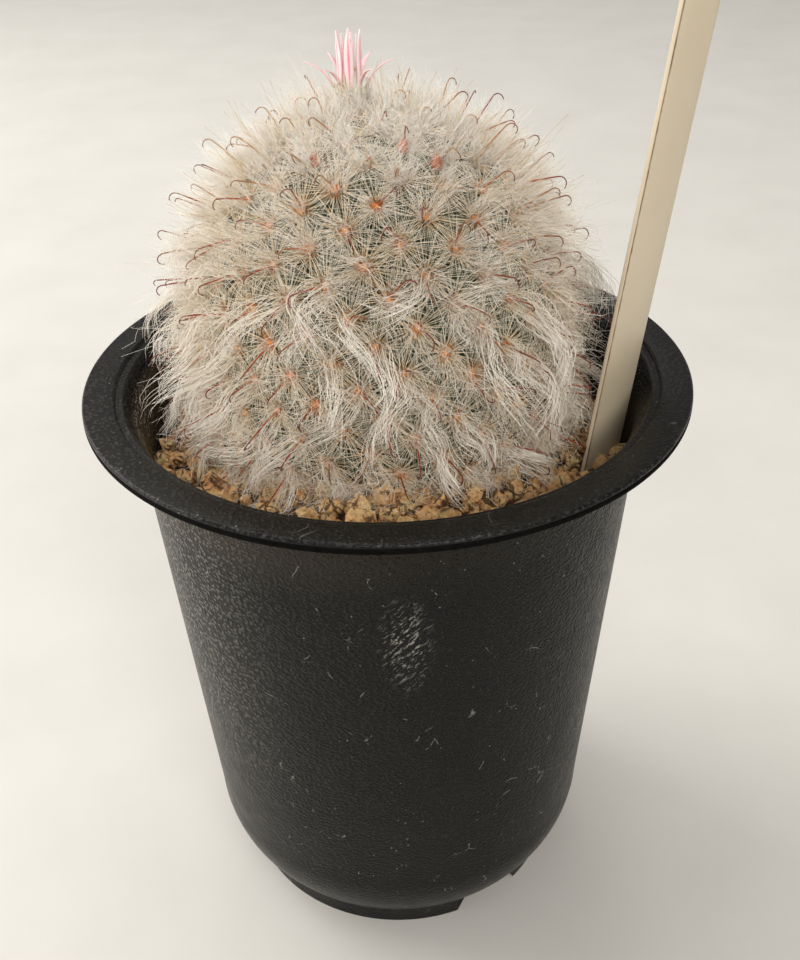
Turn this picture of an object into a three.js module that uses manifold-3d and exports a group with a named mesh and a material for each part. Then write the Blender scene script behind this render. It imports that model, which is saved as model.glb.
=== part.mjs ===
// A round pincushion cactus in a black plastic nursery pot, with its soil and its plant label.
// Units are millimetres and +Z is up. The origin is the centre of the circle that the pot's
// foot ring stands on, and -Y is the front.

import * as THREE from 'three';
import { mergeVertices } from 'three/addons/utils/BufferGeometryUtils.js';
import { ConvexGeometry } from 'three/addons/geometries/ConvexGeometry.js';
import Module from 'manifold-3d';

const wasm = await Module();
wasm.setup();

// Driving dimensions.
const clearance = 0.35; // left between pieces that touch
const goldenAngle = Math.PI * (3 - Math.sqrt(5));

const pot = {
  height: 93.7, // foot to the top of the rim
  rimRadius: 45, // outer edge of the rim
  rimInner: 40.4, // inner edge of the rim's flat top
  rimStep: 0.6, // small step just inside the rim
  lip: 1.6, // thickness of the rim at its edge
  neckRadius: 37.9, // outside of the wall under the rim
  neckHeight: 86.5,
  hipRadius: 32.5, // outside of the wall where it turns in to the foot
  hipHeight: 16.5,
  shoulderRadius: 28.3, // outside of the wall just above the foot ring
  footRadius: 27.4,
  footHeight: 4.2,
  footWidth: 1.8,
  wall: 1.1,
  floorUnder: 3.6,
  floorTop: 5,
  segments: 54,
};

const notch = { count: 3, first: -57, bottom: 12.5, top: 9, depth: 6 }; // angles in degrees
const drain = { centreRadius: 4, sideRadius: 3, sideCount: 4, circle: 15 };

const soil = { level: 79, mound: 3.5, rise: 5.5, mix: 0.5, segments: 40 }; // rise: heaped at the front
const grain = { count: 12, small: 1.4, large: 1.8, start: 12, sweep: 215, reach: 0.5 };

const cactus = { x: -0.8, y: 2.5, z: 93 }; // middle of the stem, at its widest
const stemBody = { radius: 27.1, crown: 37, foot: 20, crownPower: 2.3, footPower: 2.6 };
const coatBody = { radius: 34.3, crown: 42.5, foot: 27, crownPower: 2.3, footPower: 2.4 };
const coatHem = 4.6; // how far the coat reaches below the middle of the stem
const coatLines = 14; // rings of corners from the coat's crown to its hem
const tubercle = { share: 27.5, height: 4.6 }; // skin area in mm2 for each, and how far it stands out
const root = { neck: 7, tip: 1.6, length: 26, branches: 5, branchLength: 17, branchRadius: 1.3 };

const flower = {
  fromAxis: 8.3, azimuth: 112, tilt: 1, lift: 0.65, well: 4.9,
  tubeRadius: 1.5, tubeMouth: 2.5, tubeLength: 2.6,
};
const tepalRings = [
  { name: 'outer_tepal', count: 6, ring: 2.2, length: 5.4, width: 0.9, lean: 30, curl: 58 },
  { name: 'middle_tepal', count: 6, ring: 1.62, length: 7.5, width: 1.5, lean: 0.5, curl: 4 },
  { name: 'inner_tepal', count: 5, ring: 1.0, length: 7.1, width: 1.0, lean: 0, curl: 3 },
];
const tepalThickness = 0.42;
const bud = { radius: 0.85, length: 2.6 };
const budPlaces = [ // distance from the cactus axis and direction, in degrees
  { fromAxis: 13.4, azimuth: 236 },
  { fromAxis: 11.2, azimuth: 289 },
  { fromAxis: 14.2, azimuth: 303 },
];

const label = {
  width: 11.4, length: 110, thickness: 0.55, point: 9, corner: 1.2,
  x: 33.3, y: -7.5, z: 95, turn: 52, lean: 6.7,
};

// Materials.
const plastic = (colour, roughness) => new THREE.MeshStandardMaterial({ color: colour, roughness });
const blackPlastic = plastic(0x2c2b28, 0.5);
const labelPlastic = plastic(0xd8cdb0, 0.45);
const akadama = plastic(0xb07a48, 0.95);
const greenSkin = plastic(0x5c7148, 0.65);
const spineWool = plastic(0xd6cbb4, 0.8);
const palePink = plastic(0xf2c8cc, 0.6);
const deepPink = plastic(0xd56f8d, 0.6);
const flowerGreen = plastic(0xa9b07e, 0.6);
const pollenYellow = plastic(0xe6d27a, 0.7);

// --- Solids -------------------------------------------------------------------------------

const degrees = (angle) => THREE.MathUtils.degToRad(angle);

// A repeatable value from -1 to 1 for each whole number.
function scatter(number) {
  const value = Math.sin(number * 127.1 + 311.7) * 43758.5453;
  return 2 * (value - Math.floor(value)) - 1;
}

// Shares the corners of neighbouring triangles and drops triangles that have no area.
function weld(geometry) {
  geometry.deleteAttribute('normal');
  geometry.deleteAttribute('uv');
  const welded = mergeVertices(geometry, 1e-4);
  const kept = [];
  for (let i = 0; i < welded.index.count; i += 3) {
    const [a, b, c] = [0, 1, 2].map((k) => welded.index.getX(i + k));
    if (a !== b && b !== c && c !== a) kept.push(a, b, c);
  }
  welded.setIndex(kept);
  return welded;
}

function toSolid(geometry) {
  const welded = weld(geometry.clone());
  return new wasm.Manifold(new wasm.Mesh({
    numProp: 3,
    vertProperties: new Float32Array(welded.attributes.position.array),
    triVerts: new Uint32Array(welded.index.array),
  }));
}

function toGeometry(solid) {
  const mesh = solid.getMesh();
  const geometry = new THREE.BufferGeometry();
  geometry.setAttribute('position', new THREE.BufferAttribute(mesh.vertProperties, 3));
  geometry.setIndex(new THREE.BufferAttribute(mesh.triVerts, 1));
  return geometry;
}

function cut(geometry, tools) {
  return toGeometry(tools.reduce((solid, tool) => solid.subtract(toSolid(tool)), toSolid(geometry)));
}

function join(geometry, others) {
  return toGeometry(others.reduce((solid, other) => solid.add(toSolid(other)), toSolid(geometry)));
}

// Turns an outline of (radius, height) points round the Z axis.
function revolve(outline, segments) {
  const points = outline.map(([radius, height]) => new THREE.Vector2(radius, height));
  return new THREE.LatheGeometry(points, segments).rotateX(Math.PI / 2);
}

// Moves each corner of a welded geometry to where a function puts it.
function reshape(geometry, move) {
  const welded = weld(geometry);
  const position = welded.attributes.position;
  const corner = new THREE.Vector3();
  for (let i = 0; i < position.count; i += 1) {
    corner.fromBufferAttribute(position, i);
    move(corner, i);
    position.setXYZ(i, corner.x, corner.y, corner.z);
  }
  return welded;
}

function curve(from, control, to, divisions) {
  const bend = new THREE.QuadraticBezierCurve(
    new THREE.Vector2(...from), new THREE.Vector2(...control), new THREE.Vector2(...to));
  return bend.getPoints(divisions).map((point) => [point.x, point.y]);
}

function partMesh(name, geometry, material) {
  const mesh = new THREE.Mesh(geometry, material);
  mesh.name = name;
  return mesh;
}

// --- Pot ----------------------------------------------------------------------------------

// Outside radius of the pot's wall at a height between the foot ring and the neck.
function wallRadius(height) {
  if (height >= pot.hipHeight) {
    const rise = (height - pot.hipHeight) / (pot.neckHeight - pot.hipHeight);
    return THREE.MathUtils.lerp(pot.hipRadius, pot.neckRadius, rise);
  }
  const drop = (pot.hipHeight - height) / (pot.hipHeight - pot.footHeight);
  return pot.hipRadius - (pot.hipRadius - pot.shoulderRadius) * drop ** 2.2;
}

const hipHeights = [0, 0.15, 0.35, 0.6, 0.8].map(
  (rise) => THREE.MathUtils.lerp(pot.footHeight, pot.hipHeight, rise));
const wallHeights = [...hipHeights, pot.hipHeight, 40, 64, pot.neckHeight];

function potOutline() {
  const { rimRadius, rimInner, height, lip, wall } = pot;
  const under = height - lip;
  const outside = wallHeights.map((level) => [wallRadius(level), level]);
  const inside = wallHeights.filter((level) => level > pot.floorTop + 1)
    .map((level) => [wallRadius(level) - wall, level]).reverse();
  return [
    [0, pot.floorUnder],
    [pot.footRadius - pot.footWidth, pot.floorUnder],
    [pot.footRadius - pot.footWidth, 0],
    [pot.footRadius, 0],
    [pot.footRadius, pot.footHeight - 0.3],
    ...outside,
    ...curve([pot.neckRadius + 0.1, pot.neckHeight + 1], [pot.neckRadius + 0.6, under - 0.4],
      [rimRadius - 2.4, under], 4),
    [rimRadius - 0.5, under],
    [rimRadius, under + 0.5],
    [rimRadius, height - 0.6],
    [rimRadius - 0.6, height],
    [rimInner, height],
    [rimInner - 0.2, height - pot.rimStep],
    ...curve([rimInner - 1, height - 1.3], [pot.neckRadius - wall + 0.5, height - 2.8],
      [pot.neckRadius - wall + 0.05, pot.neckHeight + 0.8], 3),
    ...inside,
    [wallRadius(pot.floorTop) - wall - 0.6, pot.floorTop],
    [0, pot.floorTop],
  ];
}

// A drainage gap cut through the foot ring, wider at the ground.
function footNotch(index) {
  const outline = new THREE.Shape();
  outline.moveTo(-notch.bottom / 2, -1);
  outline.lineTo(notch.bottom / 2, -1);
  outline.lineTo(notch.top / 2, pot.floorUnder);
  outline.lineTo(-notch.top / 2, pot.floorUnder);
  const gap = new THREE.ExtrudeGeometry(outline, { depth: notch.depth, bevelEnabled: false });
  gap.rotateX(Math.PI / 2).rotateZ(Math.PI / 2);
  gap.translate(pot.footRadius - notch.depth / 2, 0, 0);
  return gap.rotateZ(degrees(notch.first + (360 / notch.count) * index));
}

function drainHole(radius, fromAxis, angle) {
  const hole = new THREE.CylinderGeometry(radius, radius, 4, 12).rotateX(Math.PI / 2);
  hole.translate(fromAxis, 0, (pot.floorUnder + pot.floorTop) / 2);
  return hole.rotateZ(angle);
}

function buildPot() {
  const holes = [drainHole(drain.centreRadius, 0, 0)];
  for (let i = 0; i < drain.sideCount; i += 1) {
    holes.push(drainHole(drain.sideRadius, drain.circle, ((i + 0.5) * 2 * Math.PI) / drain.sideCount));
  }
  for (let i = 0; i < notch.count; i += 1) holes.push(footNotch(i));
  return partMesh('nursery_pot', cut(revolve(potOutline(), pot.segments), holes), blackPlastic);
}

// --- Stem ---------------------------------------------------------------------------------

// A point on the outline of a rounded body, as [radius, height]: turn is 0 at its crown, 0.5 at
// its widest and 1 at its foot.
function bodyPoint(body, turn, grow = 0) {
  const rise = Math.cos(Math.PI * turn);
  const power = rise >= 0 ? body.crownPower : body.footPower;
  const reach = (rise >= 0 ? body.crown : body.foot) + grow;
  return [
    (body.radius + grow) * Math.sin(Math.PI * turn) ** (2 / power),
    Math.sign(rise) * reach * Math.abs(rise) ** (2 / power),
  ];
}

// The turn at which a body's outline is a given depth below its widest ring.
function turnAtDepth(body, depth, grow = 0) {
  return 1 - Math.acos((depth / (body.foot + grow)) ** (body.footPower / 2)) / Math.PI;
}

// Height of the stem's outline above its middle, at a distance from its axis.
function crownHeight(fromAxis) {
  const inside = 1 - (fromAxis / stemBody.radius) ** stemBody.crownPower;
  return stemBody.crown * inside ** (1 / stemBody.crownPower);
}

// The tips of the tubercles: one golden-angle spiral from crown to foot in which each tip has
// an equal share of the skin.
function tubercleTips() {
  const steps = 600;
  const tips = [];
  let area = 0;
  let [lastRadius, lastHeight] = bodyPoint(stemBody, 0);
  for (let step = 1; step <= steps; step += 1) {
    const [radius, height] = bodyPoint(stemBody, step / steps);
    const slope = Math.hypot(radius - lastRadius, height - lastHeight);
    area += Math.PI * (radius + lastRadius) * slope;
    while (area > (tips.length + 0.5) * tubercle.share) {
      const angle = tips.length * goldenAngle;
      tips.push(new THREE.Vector3(radius * Math.cos(angle), radius * Math.sin(angle), height));
    }
    [lastRadius, lastHeight] = [radius, height];
  }
  return tips;
}

// The body of the stem: a hull over the tubercle tips, with the middle of every facet pushed in,
// so that each tip stands up as a tubercle.
function tubercledBody() {
  const hull = weld(new ConvexGeometry(tubercleTips()));
  const position = hull.attributes.position;
  const corners = Array.from(position.array);
  const faces = [];
  const corner = (index) => new THREE.Vector3().fromBufferAttribute(position, index);
  for (let i = 0; i < hull.index.count; i += 3) {
    const [a, b, c] = [0, 1, 2].map((k) => hull.index.getX(i + k));
    const face = new THREE.Triangle(corner(a), corner(b), corner(c));
    const middle = face.getMidpoint(new THREE.Vector3());
    const depth = tubercle.height * Math.min(1, face.getArea() / (0.5 * tubercle.share));
    middle.addScaledVector(face.getNormal(new THREE.Vector3()), -depth);
    const added = corners.length / 3;
    corners.push(middle.x, middle.y, middle.z);
    faces.push(a, b, added, b, c, added, c, a, added);
  }
  const body = new THREE.BufferGeometry();
  body.setAttribute('position', new THREE.Float32BufferAttribute(corners, 3));
  body.setIndex(faces);
  return body;
}

// A tapering tap root with side roots, in the cactus's own frame. The grown copy of it is the
// hollow that the soil leaves for it.
function rootPieces(grow = 0) {
  const top = -stemBody.foot + 6;
  const bottom = -stemBody.foot - root.length - grow;
  const tap = revolve([
    [0, bottom], [root.tip + grow, bottom + 1], [root.neck * 0.45 + grow, bottom + root.length * 0.5],
    [root.neck + grow, -stemBody.foot - 1], [root.neck + grow, top], [0, top],
  ], 14);
  const pieces = [tap];
  for (let i = 0; i < root.branches; i += 1) {
    const angle = i * goldenAngle;
    const start = -stemBody.foot - 5 - i * 3;
    const along = (out, down) => new THREE.Vector3(
      out * Math.cos(angle), out * Math.sin(angle), start - down);
    const length = root.branchLength + grow;
    const path = new THREE.QuadraticBezierCurve3(
      along(0.5, 0), along(length * 0.6, 1), along(length, 9 + grow));
    const section = new THREE.Shape().absarc(0, 0, root.branchRadius + grow, 0, 2 * Math.PI);
    pieces.push(new THREE.ExtrudeGeometry(section, {
      extrudePath: path, steps: 5, curveSegments: 3, bevelEnabled: false,
    }));
  }
  return pieces;
}

function buildStem() {
  const stem = partMesh('cactus_stem', join(tubercledBody(), rootPieces()), greenSkin);
  stem.position.set(cactus.x, cactus.y, cactus.z);
  return stem;
}

// --- Soil ---------------------------------------------------------------------------------

// Height of the smooth soil surface at a place. It is heaped round the stem, and at the front.
function soilHeight(x, y) {
  const edge = wallRadius(soil.level) - pot.wall;
  const fromAxis = Math.hypot(x, y);
  const front = fromAxis > 0 ? Math.max(0, -y / fromAxis) ** 2 : 0;
  return soil.level + soil.mound * (1 - (fromAxis / edge) ** 4) + soil.rise * front;
}

function soilOutline() {
  const side = [pot.floorTop + clearance, ...wallHeights.filter(
    (level) => level > pot.floorTop + 1 && level < soil.level), soil.level];
  const radiusAt = (level) => wallRadius(level) - pot.wall - clearance;
  const wallSide = side.map((level, i) => [radiusAt(level) - (i === 0 ? 0.9 : 0), level]);
  const edge = radiusAt(soil.level);
  const surface = [0.93, 0.85, 0.76, 0.66, 0].map((part) => [edge * part, soil.level]);
  return [[0, side[0]], ...wallSide, ...surface];
}

// The space that the buried part of the stem takes up.
function stemPocket() {
  const outline = [];
  const low = turnAtDepth(stemBody, 4, clearance);
  for (let i = 0; i <= 7; i += 1) {
    outline.push(bodyPoint(stemBody, THREE.MathUtils.lerp(1, low, i / 7), clearance));
  }
  return revolve([...outline, [0, -4]], 36);
}

function buildSoil() {
  const edge = wallRadius(soil.level) - pot.wall - clearance;
  const bed = reshape(revolve(soilOutline(), soil.segments), (corner, i) => {
    if (corner.z < soil.level - 0.01) return;
    const inside = Math.hypot(corner.x, corner.y) < edge - 1;
    corner.z = soilHeight(corner.x, corner.y) + (inside ? soil.mix * scatter(i) : 0);
  });
  const hollows = [stemPocket(), ...rootPieces(clearance)].map(
    (tool) => tool.translate(cactus.x, cactus.y, cactus.z));
  return partMesh('soil_bed', cut(bed, [...hollows, labelSlot()]), akadama);
}

// Loose granules that lie round the edge of the soil, clear of the label.
function buildGrains() {
  const grains = [];
  for (let i = 0; i < grain.count; i += 1) {
    const size = THREE.MathUtils.lerp(grain.small, grain.large, (scatter(i + 40) + 1) / 2);
    const angle = degrees(grain.start + (grain.sweep * (i + 0.4 * scatter(i))) / (grain.count - 1));
    const fromAxis = wallRadius(soil.level) - pot.wall - size - grain.reach - 0.4;
    const shape = reshape(new THREE.IcosahedronGeometry(size, 1), (corner, k) => {
      corner.multiplyScalar(0.94 + 0.06 * scatter(k + 97 * i));
      corner.z *= 0.85;
    });
    const piece = partMesh(`soil_grain_${String(i + 1).padStart(2, '0')}`, shape, akadama);
    const [x, y] = [fromAxis * Math.cos(angle), fromAxis * Math.sin(angle)];
    piece.position.set(x, y, soilHeight(x, y) + soil.mix + 0.85 * size + 0.3 * clearance);
    grains.push(piece);
  }
  return grains;
}

// --- Spine coat ---------------------------------------------------------------------------

// The soft layer of hairs and hooked spines over the stem, as one thick cap. It is open below,
// has a well for the flower and for each bud, and parts round the label.
function buildCoat(wells) {
  const innerEnd = turnAtDepth(stemBody, coatHem, 2 * clearance);
  const inner = [];
  const outer = [];
  for (let i = 0; i <= coatLines; i += 1) {
    const part = i / coatLines;
    inner.push(bodyPoint(stemBody, innerEnd * part, 2 * clearance));
    outer.push(bodyPoint(coatBody, turnAtDepth(coatBody, coatHem) * part));
  }
  const cap = revolve([...inner, ...outer.reverse()], 36);
  cap.translate(cactus.x, cactus.y, cactus.z);
  return partMesh('spine_coat', cut(cap, [...wells, labelSlot()]), spineWool);
}

// --- Flower and buds ----------------------------------------------------------------------

// A matrix that stands a piece on the crown, pointing away from the stem by a tilt.
function crownPlace({ fromAxis, azimuth }, tilt, lift) {
  const angle = degrees(azimuth);
  const direction = new THREE.Vector3(Math.cos(angle), Math.sin(angle), 0);
  const base = direction.clone().multiplyScalar(fromAxis);
  base.z = crownHeight(fromAxis) + lift;
  base.add(new THREE.Vector3(cactus.x, cactus.y, cactus.z));
  const axis = new THREE.Vector3(0, 0, 1).cross(direction);
  return new THREE.Matrix4().makeRotationAxis(axis, degrees(tilt)).setPosition(base);
}

// A narrow pointed tepal: a flattened ball stretched along a curve that leans and then curls out.
function tepalShape({ length, width, lean, curl }) {
  return reshape(new THREE.SphereGeometry(1, 6, 7), (corner) => {
    const along = (corner.y + 1) / 2;
    const taper = 0.42 + 1.05 * along - 1.42 * along ** 3;
    const across = corner.x * (width / 2) * Math.max(taper, 0.12) / 0.86;
    const thick = corner.z * (tepalThickness / 2);
    const angle = degrees(lean + curl * along ** 2);
    const path = degrees(lean + (curl * along ** 2) / 3);
    const out = length * along * Math.sin(path);
    const up = length * along * Math.cos(path);
    corner.set(out + thick * Math.cos(angle), across, up - thick * Math.sin(angle));
  });
}

function buildTepals() {
  const tepals = [];
  tepalRings.forEach((ring, layer) => {
    for (let i = 0; i < ring.count; i += 1) {
      const number = i + 1;
      const tepal = partMesh(`${ring.name}_${number}`, tepalShape(ring), layer === 0 ? deepPink : palePink);
      const angle = ((i + 0.5 * layer) * 2 * Math.PI) / ring.count;
      tepal.position.set(ring.ring * Math.cos(angle), ring.ring * Math.sin(angle),
        flower.tubeLength + clearance);
      tepal.rotation.z = angle;
      tepals.push(tepal);
    }
  });
  return tepals;
}

// The short tube that the tepals stand on, with the ovary at its foot.
function buildTube() {
  const { tubeRadius, tubeMouth, tubeLength } = flower;
  return partMesh('flower_tube', weld(revolve([
    [0, 0], [tubeRadius, 0.3], [tubeRadius, tubeLength * 0.5], [tubeMouth, tubeLength], [0, tubeLength],
  ], 14)), flowerGreen);
}

// A ring of filaments with round anthers, joined at the foot, round the style.
function buildStamens() {
  const foot = new THREE.CylinderGeometry(0.42, 0.42, 0.3, 10).rotateX(Math.PI / 2);
  const base = flower.tubeLength + clearance + 0.15;
  const parts = [];
  for (let i = 0; i < 5; i += 1) {
    const angle = ((i + 0.5) * 2 * Math.PI) / 5;
    const filament = new THREE.CylinderGeometry(0.07, 0.09, 3.2, 5).rotateX(Math.PI / 2);
    const anther = new THREE.IcosahedronGeometry(0.17, 0).translate(0, 0, 1.6);
    [filament, anther].forEach((piece) => {
      parts.push(piece.translate(0.3, 0, 1.6).rotateZ(angle));
    });
  }
  const room = new THREE.CylinderGeometry(0.14, 0.14, 9, 6).rotateX(Math.PI / 2);
  const stamens = cut(join(foot, parts), [room]);
  const mesh = partMesh('flower_stamens', stamens, pollenYellow);
  mesh.position.z = base;
  return mesh;
}

function buildStyle() {
  const style = new THREE.CylinderGeometry(0.07, 0.07, 4.6, 6).rotateX(Math.PI / 2).translate(0, 0, 2.3);
  const lobes = [];
  for (let i = 0; i < 4; i += 1) {
    const lobe = new THREE.SphereGeometry(0.16, 5, 4).scale(2.1, 1, 1).translate(0.22, 0, 4.55);
    lobes.push(lobe.rotateZ((i * Math.PI) / 2 + 0.2));
  }
  const mesh = partMesh('flower_style', join(style, lobes), flowerGreen);
  mesh.position.z = flower.tubeLength + clearance;
  return mesh;
}

function buildFlower() {
  const group = new THREE.Group();
  group.applyMatrix4(crownPlace(flower, flower.tilt, flower.lift));
  group.add(buildTube(), ...buildTepals(), buildStamens(), buildStyle());
  return group;
}

function budTilt(place) {
  return 0.9 * place.fromAxis;
}

function buildBuds() {
  return budPlaces.map((place, i) => {
    const shape = reshape(new THREE.SphereGeometry(1, 8, 7), (corner) => {
      const along = (corner.y + 1) / 2;
      const swell = bud.radius * (1.15 - 0.45 * along);
      corner.set(corner.x * swell, corner.z * -swell, along * bud.length);
    });
    const mesh = partMesh(`flower_bud_${i + 1}`, shape, deepPink);
    mesh.applyMatrix4(crownPlace(place, budTilt(place), 2 * clearance));
    return mesh;
  });
}

// A round hole through the coat for a flower or a bud.
function coatWell(place, tilt, radius) {
  const hole = new THREE.CylinderGeometry(radius, radius, 22, 14).rotateX(Math.PI / 2);
  return hole.translate(0, 0, 4).applyMatrix4(crownPlace(place, tilt, 0));
}

// --- Label --------------------------------------------------------------------------------

// A flat plastic label with a pointed foot. The grown copy of it is the slot it stands in.
function labelShape(grow = 0) {
  const side = label.width / 2 + grow;
  const end = label.length / 2 + grow;
  const outline = new THREE.Shape();
  outline.moveTo(0, -end);
  outline.lineTo(side, -end + label.point);
  outline.lineTo(side, end - label.corner);
  outline.lineTo(side - label.corner, end);
  outline.lineTo(label.corner - side, end);
  outline.lineTo(-side, end - label.corner);
  outline.lineTo(-side, -end + label.point);
  outline.closePath();
  const depth = label.thickness + 2 * grow;
  const slab = new THREE.ExtrudeGeometry(outline, { depth, bevelEnabled: false });
  return slab.translate(0, 0, -depth / 2).rotateX(Math.PI / 2);
}

function standLabel(object) {
  object.rotation.set(0, degrees(label.lean), degrees(label.turn), 'XYZ');
  object.position.set(label.x, label.y, label.z);
  return object;
}

function buildLabel() {
  return standLabel(partMesh('plant_label', labelShape(), labelPlastic));
}

function labelSlot() {
  const place = standLabel(new THREE.Object3D());
  place.updateMatrix();
  return labelShape(clearance).applyMatrix4(place.matrix);
}

// --- Assembly -----------------------------------------------------------------------------

const wells = [
  coatWell(flower, flower.tilt, flower.well),
  ...budPlaces.map((place) => coatWell(place, budTilt(place), 1.3 * bud.radius + clearance)),
];

const pottedCactus = new THREE.Group();
pottedCactus.name = 'potted_round_cactus';
pottedCactus.add(
  buildPot(),
  buildSoil(),
  ...buildGrains(),
  buildStem(),
  buildCoat(wells),
  buildFlower(),
  ...buildBuds(),
  buildLabel(),
);

export default pottedCactus;
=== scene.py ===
import math

import bmesh
import bpy
import numpy as np
from mathutils import Matrix, Quaternion, Vector, kdtree, noise


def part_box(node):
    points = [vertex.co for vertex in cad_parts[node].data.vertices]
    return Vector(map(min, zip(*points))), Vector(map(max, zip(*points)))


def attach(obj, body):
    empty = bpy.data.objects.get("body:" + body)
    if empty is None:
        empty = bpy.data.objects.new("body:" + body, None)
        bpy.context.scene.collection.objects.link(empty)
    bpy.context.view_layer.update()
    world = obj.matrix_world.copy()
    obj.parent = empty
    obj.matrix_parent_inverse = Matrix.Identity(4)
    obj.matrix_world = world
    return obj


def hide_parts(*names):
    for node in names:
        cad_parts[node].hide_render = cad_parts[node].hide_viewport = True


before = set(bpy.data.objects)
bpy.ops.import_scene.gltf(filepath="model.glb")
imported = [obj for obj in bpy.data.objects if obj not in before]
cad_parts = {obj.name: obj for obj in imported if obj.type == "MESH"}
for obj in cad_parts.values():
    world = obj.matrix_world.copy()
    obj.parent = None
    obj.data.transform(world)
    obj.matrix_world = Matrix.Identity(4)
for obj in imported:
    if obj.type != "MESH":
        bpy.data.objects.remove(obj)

mm = 0.001
goldenAngle = math.pi * (3 - math.sqrt(5))
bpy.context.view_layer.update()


def boxOf(node):
    low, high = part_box(node)
    return low / mm, high / mm


potHigh = boxOf("nursery_pot")[1]
coatLow, coatHigh = boxOf("spine_coat")

# the stem as two half superellipses, one over the other
body = {"radius": 27.1, "crown": 37, "foot": 20, "crownPower": 2.3, "footPower": 2.6}
coat = {"radius": 34.3, "crown": 42.5}
stemCentre = Vector((
    coatLow.x + coat["radius"], coatHigh.y - coat["radius"], coatHigh.z - coat["crown"]))


# Node trees

class Desk:
    # wires one node tree: values may be numbers, sockets or nodes
    def __init__(self, tree):
        self.tree = tree
        self.seed = None

    def feed(self, socket, value):
        if isinstance(value, bpy.types.Node):
            value = value.outputs[0]
        if isinstance(value, bpy.types.NodeSocket):
            self.tree.links.new(value, socket)
        else:
            socket.default_value = value

    def add(self, kind, inputs=None, **settings):
        node = self.tree.nodes.new(kind)
        for key, value in settings.items():
            setattr(node, key, value)
        for key, value in (inputs or {}).items():
            self.feed(node.inputs[key], value)
        return node

    def math(self, operation, *values):
        return self.add("ShaderNodeMath", dict(enumerate(values)), operation=operation).outputs[0]

    def times(self, *values):
        result = values[0]
        for value in values[1:]:
            result = self.math("MULTIPLY", result, value)
        return result

    def plus(self, first, second):
        return self.math("ADD", first, second)

    def minus(self, first, second):
        return self.math("SUBTRACT", first, second)

    def over(self, first, second):
        return self.math("DIVIDE", first, second)

    def fused(self, value, factor, addend):
        return self.math("MULTIPLY_ADD", value, factor, addend)

    def vector(self, operation, *values):
        node = self.add("ShaderNodeVectorMath", dict(enumerate(values)), operation=operation)
        return node.outputs[1 if operation in ("LENGTH", "DOT_PRODUCT") else 0]

    def scaled(self, vector, amount):
        return self.add("ShaderNodeVectorMath", {0: vector, 3: amount}, operation="SCALE").outputs[0]

    def total(self, *values):
        result = values[0]
        for value in values[1:]:
            result = self.vector("ADD", result, value)
        return result

    def weighed(self, *pairs):
        # a sum of vectors, each times its own amount
        return self.total(*[self.scaled(vector, amount) for vector, amount in pairs])

    def split(self, vector):
        return self.add("ShaderNodeSeparateXYZ", {0: vector}).outputs

    def join(self, *values):
        return self.add("ShaderNodeCombineXYZ", dict(enumerate(values)))

    def fromAxis(self, vector):
        return self.vector("LENGTH", self.vector("MULTIPLY", vector, (1.0, 1.0, 0.0)))

    def mixVector(self, share, first, second):
        node = self.add("ShaderNodeMix", {0: share, 4: first, 5: second}, data_type="VECTOR")
        return node.outputs[1]

    def remap(self, value, fromLow, fromHigh, toLow, toHigh, smooth=False):
        node = self.add("ShaderNodeMapRange", {0: value, 1: fromLow, 2: fromHigh, 3: toLow, 4: toHigh})
        node.interpolation_type = "SMOOTHSTEP" if smooth else "LINEAR"
        return node.outputs[0]

    # shader nodes
    def mapped(self, coords, **settings):
        return self.add("ShaderNodeMapping", {"Vector": coords, **settings})

    def noise(self, coords, scale, detail=3, roughness=0.55):
        return self.add("ShaderNodeTexNoise", {
            "Vector": coords, "Scale": scale, "Detail": detail, "Roughness": roughness}).outputs[0]

    def warp(self, coords, scale, reach):
        # coordinates pushed about by a cloudy amount
        wander = self.add("ShaderNodeTexNoise", {"Vector": coords, "Scale": scale}).outputs[1]
        return self.total(coords, self.scaled(wander, reach))

    def cells(self, coords, scale, feature="F1"):
        node = self.add("ShaderNodeTexVoronoi", {"Vector": coords, "Scale": scale}, feature=feature)
        return node.outputs["Distance"]

    def cracks(self, coords, scale):
        return self.cells(coords, scale, "DISTANCE_TO_EDGE")

    def ramp(self, value, *stops):
        node = self.add("ShaderNodeValToRGB", {0: value})
        stretch = node.color_ramp
        while len(stretch.elements) < len(stops):
            stretch.elements.new(0.5)
        for element, (place, colour) in zip(stretch.elements, stops):
            element.position = place
            element.color = (*colour, 1)
        return node.outputs[0]

    def blend(self, share, first, second, kind="MIX"):
        node = self.add("ShaderNodeMix", data_type="RGBA", blend_type=kind)
        for place, value in ((0, share), (6, first), (7, second)):
            self.feed(node.inputs[place], (*value, 1) if isinstance(value, tuple) else value)
        return node.outputs[2]

    # fields for geometry trees; shift tells one draw of a tree from another
    def random(self, low, high, shift):
        seed = self.plus(self.seed, float(shift))
        return self.add("FunctionNodeRandomValue", {2: low, 3: high, 8: seed}).outputs[1]

    def randomVector(self, shift):
        seed = self.plus(self.seed, float(shift))
        return self.add("FunctionNodeRandomValue", {0: (-1, -1, -1), 1: (1, 1, 1), 8: seed},
                        data_type="FLOAT_VECTOR").outputs[0]

    def read(self, name, kind="FLOAT_VECTOR"):
        return self.add("GeometryNodeInputNamedAttribute", {"Name": name}, data_type=kind).outputs[0]

    def number(self, name):
        return self.read(name, "FLOAT")

    def store(self, geometry, kind="FLOAT_VECTOR", domain="POINT", **values):
        for name, value in values.items():
            geometry = self.add("GeometryNodeStoreNamedAttribute", {
                "Geometry": geometry, "Name": name, "Value": value}, data_type=kind, domain=domain)
        return geometry

    def storeNumbers(self, geometry, **values):
        return self.store(geometry, "FLOAT", **values)

    def copies(self, points, amount):
        return self.add("GeometryNodeDuplicateElements", {0: points, "Amount": amount}, domain="POINT")


socketKinds = {int: "NodeSocketInt", float: "NodeSocketFloat", tuple: "NodeSocketVector"}


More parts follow.
